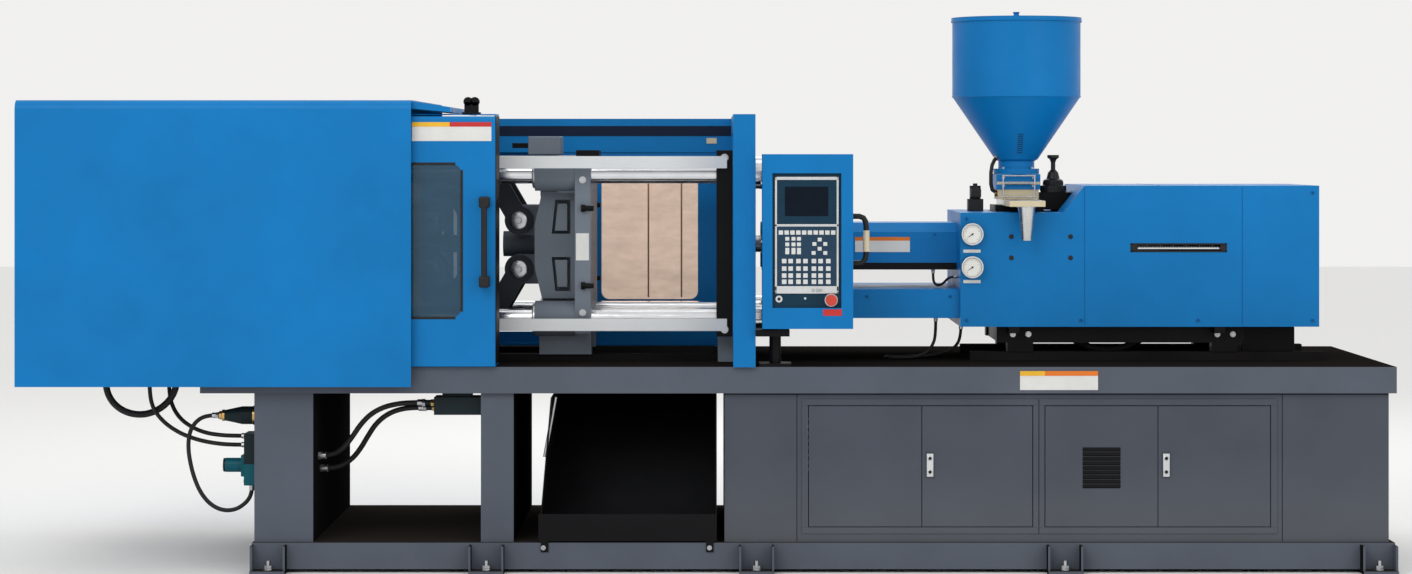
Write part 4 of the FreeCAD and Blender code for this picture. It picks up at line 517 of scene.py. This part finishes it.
# ---------------------------------------------------------------- control panel
def panel():
    """Screen, keypad, switches and blank fields on the operator's box."""
    face = -0.686
    rim = bmesh.new()
    left, right, bottom, top = -0.1836, 0.0543, 1.0493, 1.4848
    for start, end in (((left, face - 0.006, bottom), (left + 0.008, face, top)),
                       ((right - 0.008, face - 0.006, bottom), (right, face, top)),
                       ((left, face - 0.006, bottom), (right, face, bottom + 0.028)),
                       ((left, face - 0.006, top - 0.012), (right, face, top)),
                       ((left, face - 0.006, 1.2990), (right, face, 1.3085))):
        add_box(rim, start, end)
    piece("panel_frame", rim, "silver", "panel", bevel=0.0015)
    boxes("panel_bezel", [((-0.1755, face - 0.004, 1.3085), (0.0462, face, 1.4728))],
          "screen", "panel", 0.002)
    boxes("panel_screen", [((-0.146, face - 0.0052, 1.3383), (0.0155, face - 0.0035, 1.4479))],
          "lcd", "panel", 0.0008)
    boxes("panel_membrane", [((-0.1755, face - 0.003, 1.0773), (0.0462, face, 1.2990))],
          "membrane", "panel", 0.0008)
    pads = []

    def key(x, z, wide=0.0165, tall=0.0150):
        pads.append(((x - wide / 2, face - 0.0050, z - tall / 2),
                     (x + wide / 2, face - 0.0028, z + tall / 2)))
    for i in range(10):
        key(-0.1612 + i * 0.02165, 1.2768, 0.0168, 0.0160)
    for x in (-0.1374, -0.1143, -0.0938):
        key(x, 1.2536, 0.0150, 0.0140)
        key(x, 1.2328, 0.0150, 0.0140)
        key(x, 1.2078, 0.0150, 0.0240)
    for x, z in ((-0.0166, 1.2507), (-0.0166, 1.2164), (-0.0363, 1.2343), (0.0043, 1.2343),
                 (-0.0393, 1.2007), (0.0043, 1.2007)):
        key(x, z, 0.0150, 0.0140)
    for z in (1.1705, 1.1425, 1.1164, 1.0933):
        for x in (-0.1490, -0.1248, -0.0957, -0.0696, -0.0382, -0.0132, 0.0155):
            key(x, z, 0.0172, 0.0168)
    boxes("panel_keys", pads, "key_white", "panel", 0.0014)
    small = bmesh.new()
    for x in (-0.0416, -0.0248, -0.0125):
        add_turned(small, (x, face - 0.006, 1.062), (0, -1, 0),
                   [(0.0065, 0), (0.0065, 0.002), (0.0050, 0.003), (0.0050, 0.006),
                    (0.0040, 0.007)], 24)
    piece("panel_buttons", small, "grey", "panel", smooth=True)
    jack = bmesh.new()
    add_ring(jack, (-0.1683, face - 0.003, 1.0290), (0, -1, 0), 0.013, 0.006, 0.006, 28)
    add_ring(jack, (0.0265, face - 0.0015, 1.025), (0, -1, 0), 0.0245, 0.0125, 0.003, 40)
    add_rod(jack, (-0.0706, face - 0.001, 1.0311), (0, -1, 0), 0.0045, 0.003, 20)
    for x, z in ((left + 0.004, top - 0.006), (right - 0.004, top - 0.006),
                 (left + 0.004, bottom + 0.008), (right - 0.004, bottom + 0.008)):
        add_screw(jack, (x, face - 0.006, z), (0, -1, 0), 0.0032, 0.0015)
    piece("panel_rings", jack, "silver", "panel", smooth=True, bevel=0.0005)
    well = bmesh.new()
    add_rod(well, (-0.1683, face - 0.002, 1.0290), (0, -1, 0), 0.006, 0.004, 20)
    piece("panel_socket", well, "knob", "panel", smooth=True)
    boxes("panel_patch", [((-0.0044, -0.7012, 0.967), (0.0659, -0.6995, 0.9914))], "key_red",
          "panel", 0.0005)
    boxes("panel_floor", [((-0.193, face - 0.0012, 0.996), (0.064, face + 0.0005, 1.498))],
          "screen", "panel", 0.0)
    hinges = bmesh.new()
    for z in (1.02, 1.24, 1.46):
        add_screw(hinges, (-0.2305, -0.60, z), (-1, 0, 0), 0.006, 0.004)
    piece("panel_screws", hinges, "silver", "panel", smooth=True)
    back = bmesh.new()
    add_box(back, (-0.20, -0.5415, 0.96), (0.08, -0.5385, 1.53))
    for i in range(7):
        add_box(back, (-0.15, -0.5395, 1.36 + i * 0.018), (0.03, -0.5365, 1.368 + i * 0.018))
    piece("panel_back", back, "blue_dark", "panel", bevel=0.001)
    grip, sleeve = bmesh.new(), bmesh.new()
    bend = [(0.107, 1.336), (0.135, 1.336), (0.150, 1.330), (0.158, 1.316), (0.160, 1.296),
            (0.160, 1.200), (0.158, 1.180), (0.150, 1.166), (0.135, 1.160), (0.107, 1.160)]
    add_pipe(grip, [(x, -0.62, z) for x, z in bend], 0.0105)
    add_rod(sleeve, (0.160, -0.62, 1.243), (0, 0, 1), 0.0125, 0.080, 24)
    piece("panel_grip", grip, "knob", "panel", smooth=True)
    piece("panel_grip_sleeve", sleeve, "cream", "panel", smooth=True, bevel=0.002)


panel()


# ---------------------------------------------------------------- cabinet and bed details
def bed_details():
    """Latches, louvres, seams, plates and fasteners of the bed and cabinet, and a painted shadow
    strip under the deck.
    """
    keys, dark = bmesh.new(), bmesh.new()
    for name, x in (("cover_b", 0.4005), ("cover_d", 1.2875)):
        plate, dots = bmesh.new(), bmesh.new()
        add_box(plate, (x - 0.0125, -0.6105, 0.358), (x + 0.0125, -0.6055, 0.445))
        for z in (0.376, 0.427):
            add_ring(plate, (x, -0.6115, z), (0, -1, 0), 0.0095, 0.006, 0.003, 28)
            add_rod(dots, (x, -0.6112, z), (0, -1, 0), 0.006, 0.003, 20)
            add_box(dots, (x - 0.0012, -0.6135, z - 0.005), (x + 0.0012, -0.611, z + 0.005))
        piece("latch_plate_" + name[-1], plate, "silver", name, smooth=True, bevel=0.0015)
        piece("latch_locks_" + name[-1], dots, "knob", name, smooth=True)
    vent, fins = bmesh.new(), bmesh.new()
    add_box(vent, (0.966, -0.5975, 0.306), (1.124, -0.5965, 0.477))
    piece("vent_mesh", vent, "black", "cover_c")
    pitch = 0.155 / 9
    for i in range(9):
        z = 0.314 + i * pitch
        made = add_box(fins, (0.974, -0.6060, z + 0.004), (1.116, -0.6035, z + 0.0165))
        for vert in made:
            if vert.co.z > z + 0.01:
                vert.co.y += 0.004
    piece("vent_fins", fins, "black", "cover_c", bevel=0.0006)
    frame_mesh = bmesh.new()
    y, t, w = -0.6012, 0.0025, 0.024
    for left, right in ((-0.057, 0.788), (0.831, 1.681)):
        for start, end in (((left - w, y - t, 0.1676 - w), (right + w, y + t, 0.1676)),
                           ((left - w, y - t, 0.6255), (right + w, y + t, 0.6255 + w)),
                           ((left - w, y - t, 0.1676), (left, y + t, 0.6255)),
                           ((right, y - t, 0.1676), (right + w, y + t, 0.6255))):
            add_box(frame_mesh, start, end)
    piece("bay_frames", frame_mesh, "cabinet", "bed", bevel=0.0012)
    for x in (-0.099, 1.724):
        add_box(dark, (x - 0.0012, -0.6008, 0.115), (x + 0.0012, -0.5995, 0.672))
        add_box(dark, (x - 0.0012, 0.5995, 0.115), (x + 0.0012, 0.6008, 0.672))
    # black strip under the deck's front edge: painted shadow of the deck's skirt, not a seam
    add_box(dark, (-0.371, -0.6007, 0.6655), (2.124, -0.5995, 0.6715))
    piece("seams", dark, "black", "bed")
    for x in (-2.0775, -1.2619, -0.2513, 0.9019, 2.0775):
        for side in (-1, 1):
            add_bolt(keys, (x, side * 0.655, 0.0135), (0, 0, 1), 0.015, 0.018)
            add_rod(keys, (x, side * 0.655, 0.03), (0, 0, 1), 0.0085, 0.04, 16)
    for x in (-1.050, -0.4275):
        add_screw(keys, (x, -0.6245, 0.094), (0, -1, 0), 0.009, 0.006)
    piece("bed_bolts", keys, "ground", "bed", smooth=True)
    boxes("bed_plate", [((0.7369, -0.6216, 0.6844), (1.0294, -0.6197, 0.7556))], "plate", "bed",
          0.0006)
    boxes("bed_plate_header", [((0.7369, -0.6226, 0.738), (0.83, -0.6212, 0.7556))], "amber",
          "bed", 0.0)
    boxes("bed_plate_header_b", [((0.83, -0.6226, 0.738), (1.0294, -0.6212, 0.7556))], "orange",
          "bed", 0.0)
    rod_mesh = bmesh.new()
    add_rod(rod_mesh, (-1.028, -0.55, 0.54), (0.18, 0, 1), 0.007, 0.23, 16)
    for i in range(4):
        add_box(rod_mesh, (-1.02 + 0.14 * i, -0.6215, 0.206), (-0.96 + 0.14 * i, -0.6195, 0.212))
    piece("chute_stay", rod_mesh, "ground", "bed", smooth=True)


bed_details()


def tail_valves():
    """Teal coil and brass fittings of the valves on the tail leg."""
    teal, bright = bmesh.new(), bmesh.new()
    add_rod(teal, (-2.222, -0.50, 0.392), (1, 0, 0), 0.0270, 0.074, 32)
    add_box(teal, (-2.196, -0.545, 0.352), (-2.1815, -0.455, 0.432))
    add_box(teal, (-2.1825, -0.5612, 0.322), (-2.1362, -0.5595, 0.400))
    piece("valve_coil", teal, "teal", "bed", smooth=True, bevel=0.002)
    add_turned(bright, (-2.262, -0.50, 0.58), (-1, 0, 0),
               [(0.0215, 0), (0.0215, 0.010), (0.016, 0.014), (0.016, 0.022)], 28)
    add_ring(bright, (-2.150, -0.50, 0.58), (1, 0, 0), 0.0365, 0.033, 0.010, 36)
    for y, z in ((-0.545, 0.335), (-0.545, 0.50), (-0.455, 0.335), (-0.455, 0.50)):
        add_screw(bright, (-2.1815, y, z), (-1, 0, 0), 0.006, 0.004)
    for y, z in ((-0.53, 0.63), (-0.48, 0.608)):
        add_rod(bright, (-1.474, y, z), (1, 0, 0), 0.0145, 0.012, 6)
    piece("valve_fittings", bright, "brass", "bed", smooth=True, bevel=0.0008)


tail_valves()


# ---------------------------------------------------------------- guards
def guard_details():
    """Bracket, plates, window trim and fasteners on the gates and covers."""
    lobe = bmesh.new()
    for x in (-1.333, -1.308):
        add_rod(lobe, (x, -0.605, 1.766), (0, 1, 0), 0.0175, 0.030, 28)
    add_box(lobe, (-1.347, -0.620, 1.7205), (-1.294, -0.590, 1.766))
    add_box(lobe, (-1.356, -0.632, 1.7205), (-1.286, -0.578, 1.7265))
    piece("gate_bracket", lobe, "black", "front_guard", smooth=True, bevel=0.002)
    y = -0.640        # the front gate's face
    boxes("gate_plate", [((-1.5413, y - 0.0014, 1.618), (-1.2437, y + 0.0005, 1.689))], "plate",
          "front_guard", 0.0006)
    boxes("gate_plate_amber", [((-1.5413, y - 0.0022, 1.672), (-1.40, y - 0.001, 1.689))],
          "amber", "front_guard", 0.0)
    boxes("gate_plate_red", [((-1.40, y - 0.0022, 1.672), (-1.2437, y - 0.001, 1.689))],
          "key_red", "front_guard", 0.0)
    gasket = bmesh.new()
    left, right, bottom, top = -1.860, -1.358, 0.959, 1.530
    for x0, x1, z0, z1 in ((left - 0.008, left + 0.001, bottom + 0.02, top - 0.02),
                           (right - 0.001, right + 0.008, bottom + 0.02, top - 0.02),
                           (left + 0.02, right - 0.02, bottom - 0.008, bottom + 0.001),
                           (left + 0.02, right - 0.02, top - 0.001, top + 0.008)):
        add_box(gasket, (x0, y - 0.001, z0), (x1, y + 0.003, z1))
    piece("gate_gasket", gasket, "knob", "front_guard", bevel=0.001)
    grip = bmesh.new()
    for z in (1.0715, 1.3683):
        add_box(grip, (-1.2870, -0.700, z), (-1.2480, -0.6405, z + 0.042))
    add_box(grip, (-1.2785, -0.6985, 1.09), (-1.2565, -0.6770, 1.39))
    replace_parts(piece("gate_grip", grip, "knob", "front_guard", smooth=True, bevel=0.0065),
                "gate_handle")
    boxes("gate_edge", [((-1.2293, -0.638, 0.782), (-1.2262, -0.450, 1.712))], "black",
          "front_guard", 0.001)
    portal = bmesh.new()
    for z in (0.90, 1.555):
        add_bolt(portal, (-0.370, -0.4125, z), (0, -1, 0), 0.012, 0.010)
    # black sheet over the portal's end plate: painted shade of the dark strip beside the fixed
    # platen
    boxes("portal_end_painted_shade", [((-0.4010, -0.4125, 0.8725), (-0.3385, -0.4098, 1.5835))], "black",
          "bed", 0.001)
    # near-black sheet painted as the shadow in the recess under the rear top beam
    boxes("beam_shadow", [((-1.5305, 0.5982, 1.6425), (-0.3385, 0.5998, 1.684))], "shadow",
          "bed", 0.0)
    boxes("beam_plate", [((-0.440, 0.5976, 1.611), (-0.398, 0.5988, 1.634))], "cream", "bed",
          0.0004)
    piece("portal_bolts", portal, "ground", "bed", smooth=True)
    covers = bmesh.new()
    for z in (0.80, 1.2, 1.60):
        for y in (-0.62, 0.62):
            add_screw(covers, (-3.0195, y, z), (-1, 0, 0), 0.007, 0.004)
    piece("cover_screws", covers, "ground", "bed", smooth=True)
    seam = bmesh.new()
    for y_seam in (-0.30, 0.30):
        add_box(seam, (-3.0, y_seam - 0.002, 1.7708), (-1.65, y_seam + 0.002, 1.7722))
    for y_seam in (-0.35, 0.35):
        add_box(seam, (-3.0212, y_seam - 0.002, 0.76), (-3.0195, y_seam + 0.002, 1.70))
    for i in range(10):
        add_box(seam, (-3.0212, -0.12, 1.35 + i * 0.022), (-3.0195, 0.12, 1.36 + i * 0.022))
    piece("cover_seams", seam, "blue_dark", "bed", bevel=0.0004)
    bars = bmesh.new()
    for x in (-0.681, -0.544):
        add_box(bars, (x - 0.0035, 0.6015, 0.975), (x + 0.0035, 0.6055, 1.492))
    piece("rear_window_ribs", bars, "bronze_rib", "rear_guard", bevel=0.001)
    grip = bmesh.new()
    add_box(grip, (-1.012, 0.626, 1.08), (-0.990, 0.662, 1.11))
    add_box(grip, (-1.012, 0.626, 1.34), (-0.990, 0.662, 1.37))
    add_box(grip, (-1.012, 0.650, 1.08), (-0.990, 0.664, 1.37))
    piece("rear_grip", grip, "knob", "rear_guard", bevel=0.004)


guard_details()


# ---------------------------------------------------------------- clamp details
def clamp_details():
    """Fasteners, pin caps, stops and plates on the platens and links."""
    fixed = bmesh.new()
    for a, b in CORNERS:
        for i in range(6):
            angle = math.pi / 3 * i
            spot = (-0.1800, BAR * a + 0.048 * math.cos(angle),
                    AXIS_Z + BAR * b + 0.048 * math.sin(angle))
            add_screw(fixed, spot, (1, 0, 0), 0.006, 0.006)
    for y in (-0.30, -0.18, 0.18, 0.30):
        add_bolt(fixed, (-0.32, y, 0.7715), (0, 0, 1), 0.001, 0.001)
    piece("fixed_platen_bolts", fixed, "ground", "bed", smooth=True)
    side = bmesh.new()
    for z in (1.47, 0.96):
        for a in (-1, 1):
            add_bolt(side, (-0.914, 0.3505 * a, z), (0, a, 0), 0.011, 0.010)
    for a, b in CORNERS:
        add_turned(side, (-1.1005, BAR * a, AXIS_Z + BAR * b), (-1, 0, 0),
                   [(0.058, 0.0), (0.058, 0.006), (0.050, 0.010)], 40)
    piece("platen_bolts", side, "ground", "platen", smooth=True)
    boxes("platen_plate", [((-0.940, -0.3515, 1.161), (-0.890, -0.3497, 1.265))], "plate",
          "platen", 0.0006)
    stops = bmesh.new()
    for z in (1.361, 1.064):
        for y in (-0.357, 0.357):
            add_rod(stops, (-0.893, y, z), (1, 0, 0), 0.010, 0.044, 20)
            add_rod(stops, (-0.912, y, z), (1, 0, 0), 0.016, 0.016, 6)
    add_box(stops, (-0.950, -0.10, 1.5505), (-0.860, 0.10, 1.584))
    add_box(stops, (-1.205, -0.025, 1.592), (-1.137, 0.025, 1.612))
    piece("platen_stops", stops, "black", "platen", smooth=True, bevel=0.0015)
    boxes("platen_box", [((-1.137, -0.12, 1.566), (-1.010, 0.12, 1.638)),
                         ((-1.090, -0.10, 1.40), (-1.030, 0.10, 1.57))], "cast", "platen", 0.004)
    rib = bmesh.new()
    for b in (-1, 1):
        for y0, y1 in ((-0.226, -0.176), (0.176, 0.226)):
            outline = ((-1.028, 0.056), (-0.978, 0.056), (-0.978, 0.162), (-1.016, 0.162))
            skin(rib, [[rib.verts.new((x, y, AXIS_Z + b * z)) for x, z in outline]
                       for y in (y0, y1)])
    bmesh.ops.recalc_face_normals(rib, faces=rib.faces)
    # the ribs take the lighter cast paint as a painted highlight
    piece("platen_panels", rib, "cast_painted_highlight", "platen", bevel=0.003)
    knee_x, knee_z = -1.345, 0.398109
    pivot = {"rear_link_up": [(-1.52, 0.095), (knee_x, knee_z)],
             "rear_link_low": [(-1.52, -0.095), (knee_x, -knee_z)],
             "front_link_up": [(-1.17, 0.095)], "front_link_low": [(-1.17, -0.095)]}
    for body, spots in pivot.items():
        mesh = bmesh.new()
        for x, z in spots:
            for a in (-1, 1):
                add_turned(mesh, (x, 0.1695 * a, AXIS_Z + z), (0, a, 0),
                           [(0.034, 0), (0.034, 0.006), (0.030, 0.009), (0.012, 0.009),
                            (0.010, 0.005)], 32)
        piece("pin_caps_" + body, mesh, "ground", body, smooth=True)
    tail = bmesh.new()
    for a, b in CORNERS:
        for i in range(24):
            angle = math.pi / 12 * i
            y = BAR * a + 0.0625 * math.cos(angle)
            z = AXIS_Z + BAR * b + 0.0625 * math.sin(angle)
            add_rod(tail, (-1.815, y, z), (1, 0, 0), 0.0045, 0.045, 8)
    for i in range(8):
        angle = math.pi / 4 * i + math.pi / 8
        add_screw(tail, (-1.8205, 0.107 * math.cos(angle), AXIS_Z + 0.107 * math.sin(angle)),
                  (-1, 0, 0), 0.009, 0.009)
    piece("tail_trim", tail, "ground", "tail", smooth=True)
    ring = bmesh.new()
    for x in (-2.40, -2.36):
        add_ring(ring, (x, 0, AXIS_Z), (1, 0, 0), 0.103, 0.094, 0.016, 48)
    piece("cylinder_bands", ring, "black", "tail", smooth=True, bevel=0.001)
    head = bmesh.new()
    for b, a in CORNERS:
        add_ring(head, (-1.37, 0.0565 * a, AXIS_Z + 0.095 * b), (0, 1, 0), 0.034, 0.0225,
                 0.003, 32)
    for z in (-0.04, 0.0, 0.04):
        add_rod(head, (-1.3198, -0.03, AXIS_Z + z), (1, 0, 0), 0.008, 0.012, 16)
    piece("crosshead_rings", head, "copper", "cross", smooth=True)
    eject = bmesh.new()
    for a, b in CORNERS:
        add_screw(eject, (-1.0355, 0.06 * a, AXIS_Z + 0.025 * b), (1, 0, 0), 0.007, 0.006)
    piece("ejector_screws", eject, "ground", "ejector_plate", smooth=True)


clamp_details()


# ---------------------------------------------------------------- injection unit details
def gauge_faces():
    """White dials with plain ticks, a needle and a bright rim."""
    for tag, z in (("up", 1.2616), ("down", 1.1348)):
        x, y = 0.5807, -0.3585
        dial, ticks, rim = bmesh.new(), bmesh.new(), bmesh.new()
        add_rod(dial, (x, y, z), (0, -1, 0), 0.0355, 0.003, 48)
        piece("gauge_face_" + tag, dial, "dial", "carriage", smooth=True)
        for i in range(21):
            long = 0.006 if i % 5 == 0 else 0.003
            turn = Matrix.Rotation(math.radians(i * 13.5 - 135), 3, "Y")
            for vert in add_box(ticks, (-0.0005, -0.0018, 0.031 - long), (0.0005, -0.001, 0.031)):
                vert.co = Vector((x, y, z)) + turn @ vert.co
        needle = Vector((math.cos(math.radians(215)), 0, math.sin(math.radians(215))))
        add_rod(ticks, Vector((x, y - 0.003, z)) + needle * 0.010, needle, 0.0018, 0.028, 4,
                tip=0.0003)
        add_rod(ticks, (x, y - 0.003, z), (0, -1, 0), 0.0035, 0.003, 20)
        piece("gauge_ticks_" + tag, ticks, "knob", "carriage")
        add_ring(rim, (x, -0.3625, z), (0, -1, 0), 0.0425, 0.0362, 0.005, 56)
        piece("gauge_rim_" + tag, rim, "silver", "carriage", smooth=True, bevel=0.001)


def case_details():
    """Fixings, stroke scale, blank plates and seams of the injection unit."""
    dots = bmesh.new()
    for x in (0.7326, 0.960):
        for z in (1.2516, 1.1701):
            for side in (-1, 1):
                add_rod(dots, (x, side * 0.3305, z), (0, side, 0), 0.0095, 0.003, 24)
    piece("case_dots", dots, "knob", "carriage", bevel=0.002)
    rim = bmesh.new()
    y = -0.3312
    for start, end in (((1.190, y, 1.2205), (1.561, y + 0.002, 1.2265)),
                       ((1.190, y, 1.1915), (1.561, y + 0.002, 1.1975)),
                       ((1.190, y, 1.1915), (1.198, y + 0.002, 1.2265)),
                       ((1.553, y, 1.1915), (1.561, y + 0.002, 1.2265))):
        add_box(rim, start, end)
    for x in (1.206, 1.545):
        add_rod(rim, (x, -0.3315, 1.209), (0, -1, 0), 0.0125, 0.004, 24)
    piece("slot_rim", rim, "knob", "carriage", bevel=0.0012)
    boxes("rear_ballast", [((1.6403, -0.190, 0.7735), (1.847, 0.190, 0.897))], "black", "carriage",
          0.003)
    scale = bmesh.new()
    add_box(scale, (1.20, -0.325, 1.204), (1.551, -0.3215, 1.2095))
    for i in range(35):
        tall = 0.009 if i % 5 == 0 else 0.005
        x = 1.205 + i * 0.01
        add_box(scale, (x, -0.3262, 1.2095), (x + 0.0008, -0.3235, 1.2095 + tall))
    piece("slot_scale", scale, "silver", "carriage")
    pointer = bmesh.new()
    add_box(pointer, (1.214, -0.318, 1.199), (1.219, -0.2255, 1.219))
    piece("slot_pointer", pointer, "key_red", "drive", bevel=0.0008)
    boxes("guard_plate", [((0.140, -0.1516, 1.1865), (0.354, -0.1498, 1.231))], "plate",
          "carriage", 0.0006)
    boxes("guard_plate_header", [((0.140, -0.1516, 1.231), (0.354, -0.1498, 1.245))], "orange",
          "carriage", 0.0)
    for z in (1.190, 1.073):
        boxes("gauge_strip_%d" % int(z * 100), [((0.548, -0.3314, z), (0.614, -0.3298, z + 0.012))],
              "plate", "carriage", 0.0004)
    band = bmesh.new()
    add_box(band, (-0.2245, -0.1508, 1.1185), (0.536, -0.1499, 1.145))
    add_box(band, (-0.2245, 0.1499, 1.1185), (0.536, 0.1508, 1.145))
    piece("guard_band", band, "black", "carriage")
    seam = bmesh.new()
    for x in (1.0139, 1.62):
        for side in (-1, 1):
            add_box(seam, (x - 0.0012, side * 0.3302 - 0.0008, 0.912),
                    (x + 0.0012, side * 0.3302 + 0.0008, 1.441))
    add_box(seam, (1.30, -0.325, 1.4472), (1.303, 0.325, 1.4484))
    for i in range(9):
        for side in (-1, 1):
            add_box(seam, (1.9152, side * 0.16 - 0.10, 1.05 + i * 0.024),
                    (1.9168, side * 0.16 + 0.10, 1.06 + i * 0.024))
    piece("case_seams", seam, "blue_dark", "carriage")
    caps = bmesh.new()
    for x, z in ((0.56, 0.93), (0.56, 1.32), (1.89, 0.93), (1.89, 1.42), (1.0, 0.93), (1.45, 0.93)):
        for side in (-1, 1):
            add_screw(caps, (x, side * 0.3298, z), (0, side, 0), 0.0065, 0.004)
    for x in (-0.13, 0.18, 0.5):
        for side in (-1, 1):
            add_screw(caps, (x, side * 0.2998, 1.02), (0, side, 0), 0.006, 0.004)
            add_screw(caps, (x - 0.05, side * 0.1498, 1.255), (0, side, 0), 0.005, 0.004)
    piece("case_screws", caps, "blue_dark", "carriage", smooth=True)
    feet = bmesh.new()
    for x in (0.745, 0.805, 1.535, 1.595):
        for a in (-1, 1):
            add_bolt(feet, (x, a * 0.262, 0.8725), (0, a, 0), 0.009, 0.008)
    piece("carriage_bolts", feet, "ground", "carriage", smooth=True)


def hopper_details():
    """Sight slit, rim bead, bolts, feed valve, and small pipe by the hopper."""
    hx = HOPPER_X
    slit = bmesh.new()
    for i in range(10):
        z = 1.573 + i * 0.008
        radius = 0.084 + max(0.0, z - 1.548) / 0.2465 * 0.168
        add_box(slit, (hx - 0.008, -radius - 0.0016, z), (hx + 0.013, -radius + 0.006, z + 0.0082))
    piece("hopper_slit", slit, "black", "feeder")
    bead = bmesh.new()
    for z, radius in ((1.7945, 0.2535), (2.0905, 0.2575)):
        add_turned(bead, (hx, 0, 0), (0, 0, 1),
                   [(radius - 0.003, z - 0.004), (radius, z - 0.002), (radius, z + 0.002),
                    (radius - 0.003, z + 0.004)], 96, closed=True)
    piece("hopper_beads", bead, "blue", "feeder", smooth=True)
    bolts = bmesh.new()
    for i in range(4):
        angle = math.pi / 4 + math.pi / 2 * i
        add_bolt(bolts, (hx + 0.080 * math.cos(angle), 0.080 * math.sin(angle), 1.511), (0, 0, 1),
                 0.006, 0.007)
    for a, b in CORNERS:
        add_bolt(bolts, (hx + 0.06 * a, -0.0853, 1.46 + 0.016 * b), (0, -1, 0), 0.005, 0.005)
    piece("hopper_bolts", bolts, "ground", "feeder", smooth=True)
    boxes("base_block", [((hx - 0.0862, -0.0862, 1.4305), (hx + 0.0862, -0.0848, 1.4495)),
                         ((hx - 0.0862, -0.0862, 1.4605), (hx + 0.0862, -0.0848, 1.4895)),
                         ((hx - 0.0862, 0.0848, 1.4305), (hx + 0.0862, 0.0862, 1.4895)),
                         ((hx - 0.0862, -0.0862, 1.4305), (hx - 0.0848, 0.0862, 1.4895)),
                         ((hx + 0.0848, -0.0862, 1.4305), (hx + 0.0862, 0.0862, 1.4895))],
          "blue", "feeder", 0.0006)
    valve = bmesh.new()
    add_box(valve, (0.590, -0.045, 1.344), (0.650, 0.015, 1.392))
    add_rod(valve, (0.620, -0.015, 1.418), (0, 0, 1), 0.022, 0.052, 24)
    add_rod(valve, (0.620, -0.015, 1.448), (0, 0, 1), 0.009, 0.010, 16)
    add_box(valve, (0.600, -0.062, 1.400), (0.640, -0.035, 1.432))
    piece("feed_valve", valve, "knob", "carriage", smooth=True, bevel=0.0015)
    pipe, plug = bmesh.new(), bmesh.new()
    add_pipe(pipe, [(hx - 0.078, -0.03, 1.556), (hx - 0.090, -0.04, 1.545),
                    (hx - 0.100, -0.05, 1.525), (hx - 0.105, -0.055, 1.495),
                    (hx - 0.105, -0.055, 1.450), (hx - 0.100, -0.055, 1.428),
                    (hx - 0.082, -0.055, 1.416)], 0.0075)
    piece("air_pipe", pipe, "knob", "feeder", smooth=True)
    add_rod(plug, (hx - 0.084, -0.055, 1.412), (1, 0, 0), 0.011, 0.014, 6)
    add_rod(plug, (hx - 0.080, -0.032, 1.556), (0.8, 0.1, 0.5), 0.010, 0.012, 6)
    piece("air_pipe_ends", plug, "brass", "feeder", smooth=True)
    boxes("track_trim", [((hx - 0.068, -0.4412, 1.3684), (hx + 0.068, -0.20, 1.3908))], "cream",
          "carriage", 0.001)
    rings = bmesh.new()
    add_ring(rings, (hx, -0.40, 1.3675), (0, 0, 1), 0.037, 0.033, 0.006, 40)
    add_ring(rings, (hx, -0.40, 1.2405), (0, 0, 1), 0.0215, 0.0185, 0.004, 40)
    piece("spout_rings", rings, "stainless", "carriage", smooth=True, bevel=0.0005)
    slots = bmesh.new()
    for z, r in ((1.4445, 0.0505), (1.4635, 0.0385)):
        for i in range(24):
            angle = math.pi / 12 * i
            add_rod(slots, (0.929 + r * math.cos(angle), r * math.sin(angle), z - 0.012),
                    (0, 0, 1), 0.0022, 0.018, 8)
    piece("knob_ribs", slots, "knob", "knob", smooth=True)


def screw_flight():
    """Helical flight round the screw's core."""
    mesh = bmesh.new()
    turns, steps, pitch, start = 18, 24, 0.05, -0.115
    rings = []
    for i in range(turns * steps + 1):
        angle = 2 * math.pi * i / steps
        x = start + pitch * i / steps
        profile = ((0.017, 0.0035), (0.0247, 0.0025), (0.0247, -0.0025), (0.017, -0.0035))
        rings.append([mesh.verts.new((x + dx, radius * math.cos(angle),
                                      AXIS_Z + radius * math.sin(angle)))
                      for radius, dx in profile])
    skin(mesh, rings)
    piece("screw_flight", mesh, "ground", "screw_body", smooth=True)


gauge_faces()
case_details()
hopper_details()
screw_flight()


# ---------------------------------------------------------------- floor, light, world
ground = bmesh.new()
bmesh.ops.create_grid(ground, x_segments=1, y_segments=1, size=30)
ground_data = bpy.data.meshes.new("floor")
ground.to_mesh(ground_data)
ground.free()
ground_data.materials.append(MAT["floor"])
floor = bpy.data.objects.new("floor", ground_data)
floor.location = (0, 0, -0.001)
bpy.context.collection.objects.link(floor)

world = bpy.data.worlds.new("studio")
bpy.context.scene.world = world
world.use_nodes = True
world.node_tree.nodes["Background"].inputs["Color"].default_value = (0.935, 0.93, 0.92, 1)
world.node_tree.nodes["Background"].inputs["Strength"].default_value = 0.94


def area_light(name, place, target, size, power):
    data = bpy.data.lights.new(name, "AREA")
    data.shape = "RECTANGLE"
    data.size, data.size_y = size
    data.energy = power
    obj = bpy.data.objects.new(name, data)
    bpy.context.collection.objects.link(obj)
    obj.location = place
    way = Vector(target) - Vector(place)
    obj.rotation_euler = way.to_track_quat("-Z", "Y").to_euler()


area_light("key", (-3.5, -6.5, 5.5), (-0.4, 0, 1.0), (4.5, 3.0), 150)
area_light("fill", (4.5, -6.0, 3.5), (0.4, 0, 1.0), (4.0, 3.0), 60)
area_light("rear", (0.5, 6.0, 4.5), (-0.4, 0, 1.0), (5.0, 2.5), 80)
area_light("top", (-0.4, 0.0, 6.5), (-0.4, 0, 0.8), (6.0, 2.5), 40)
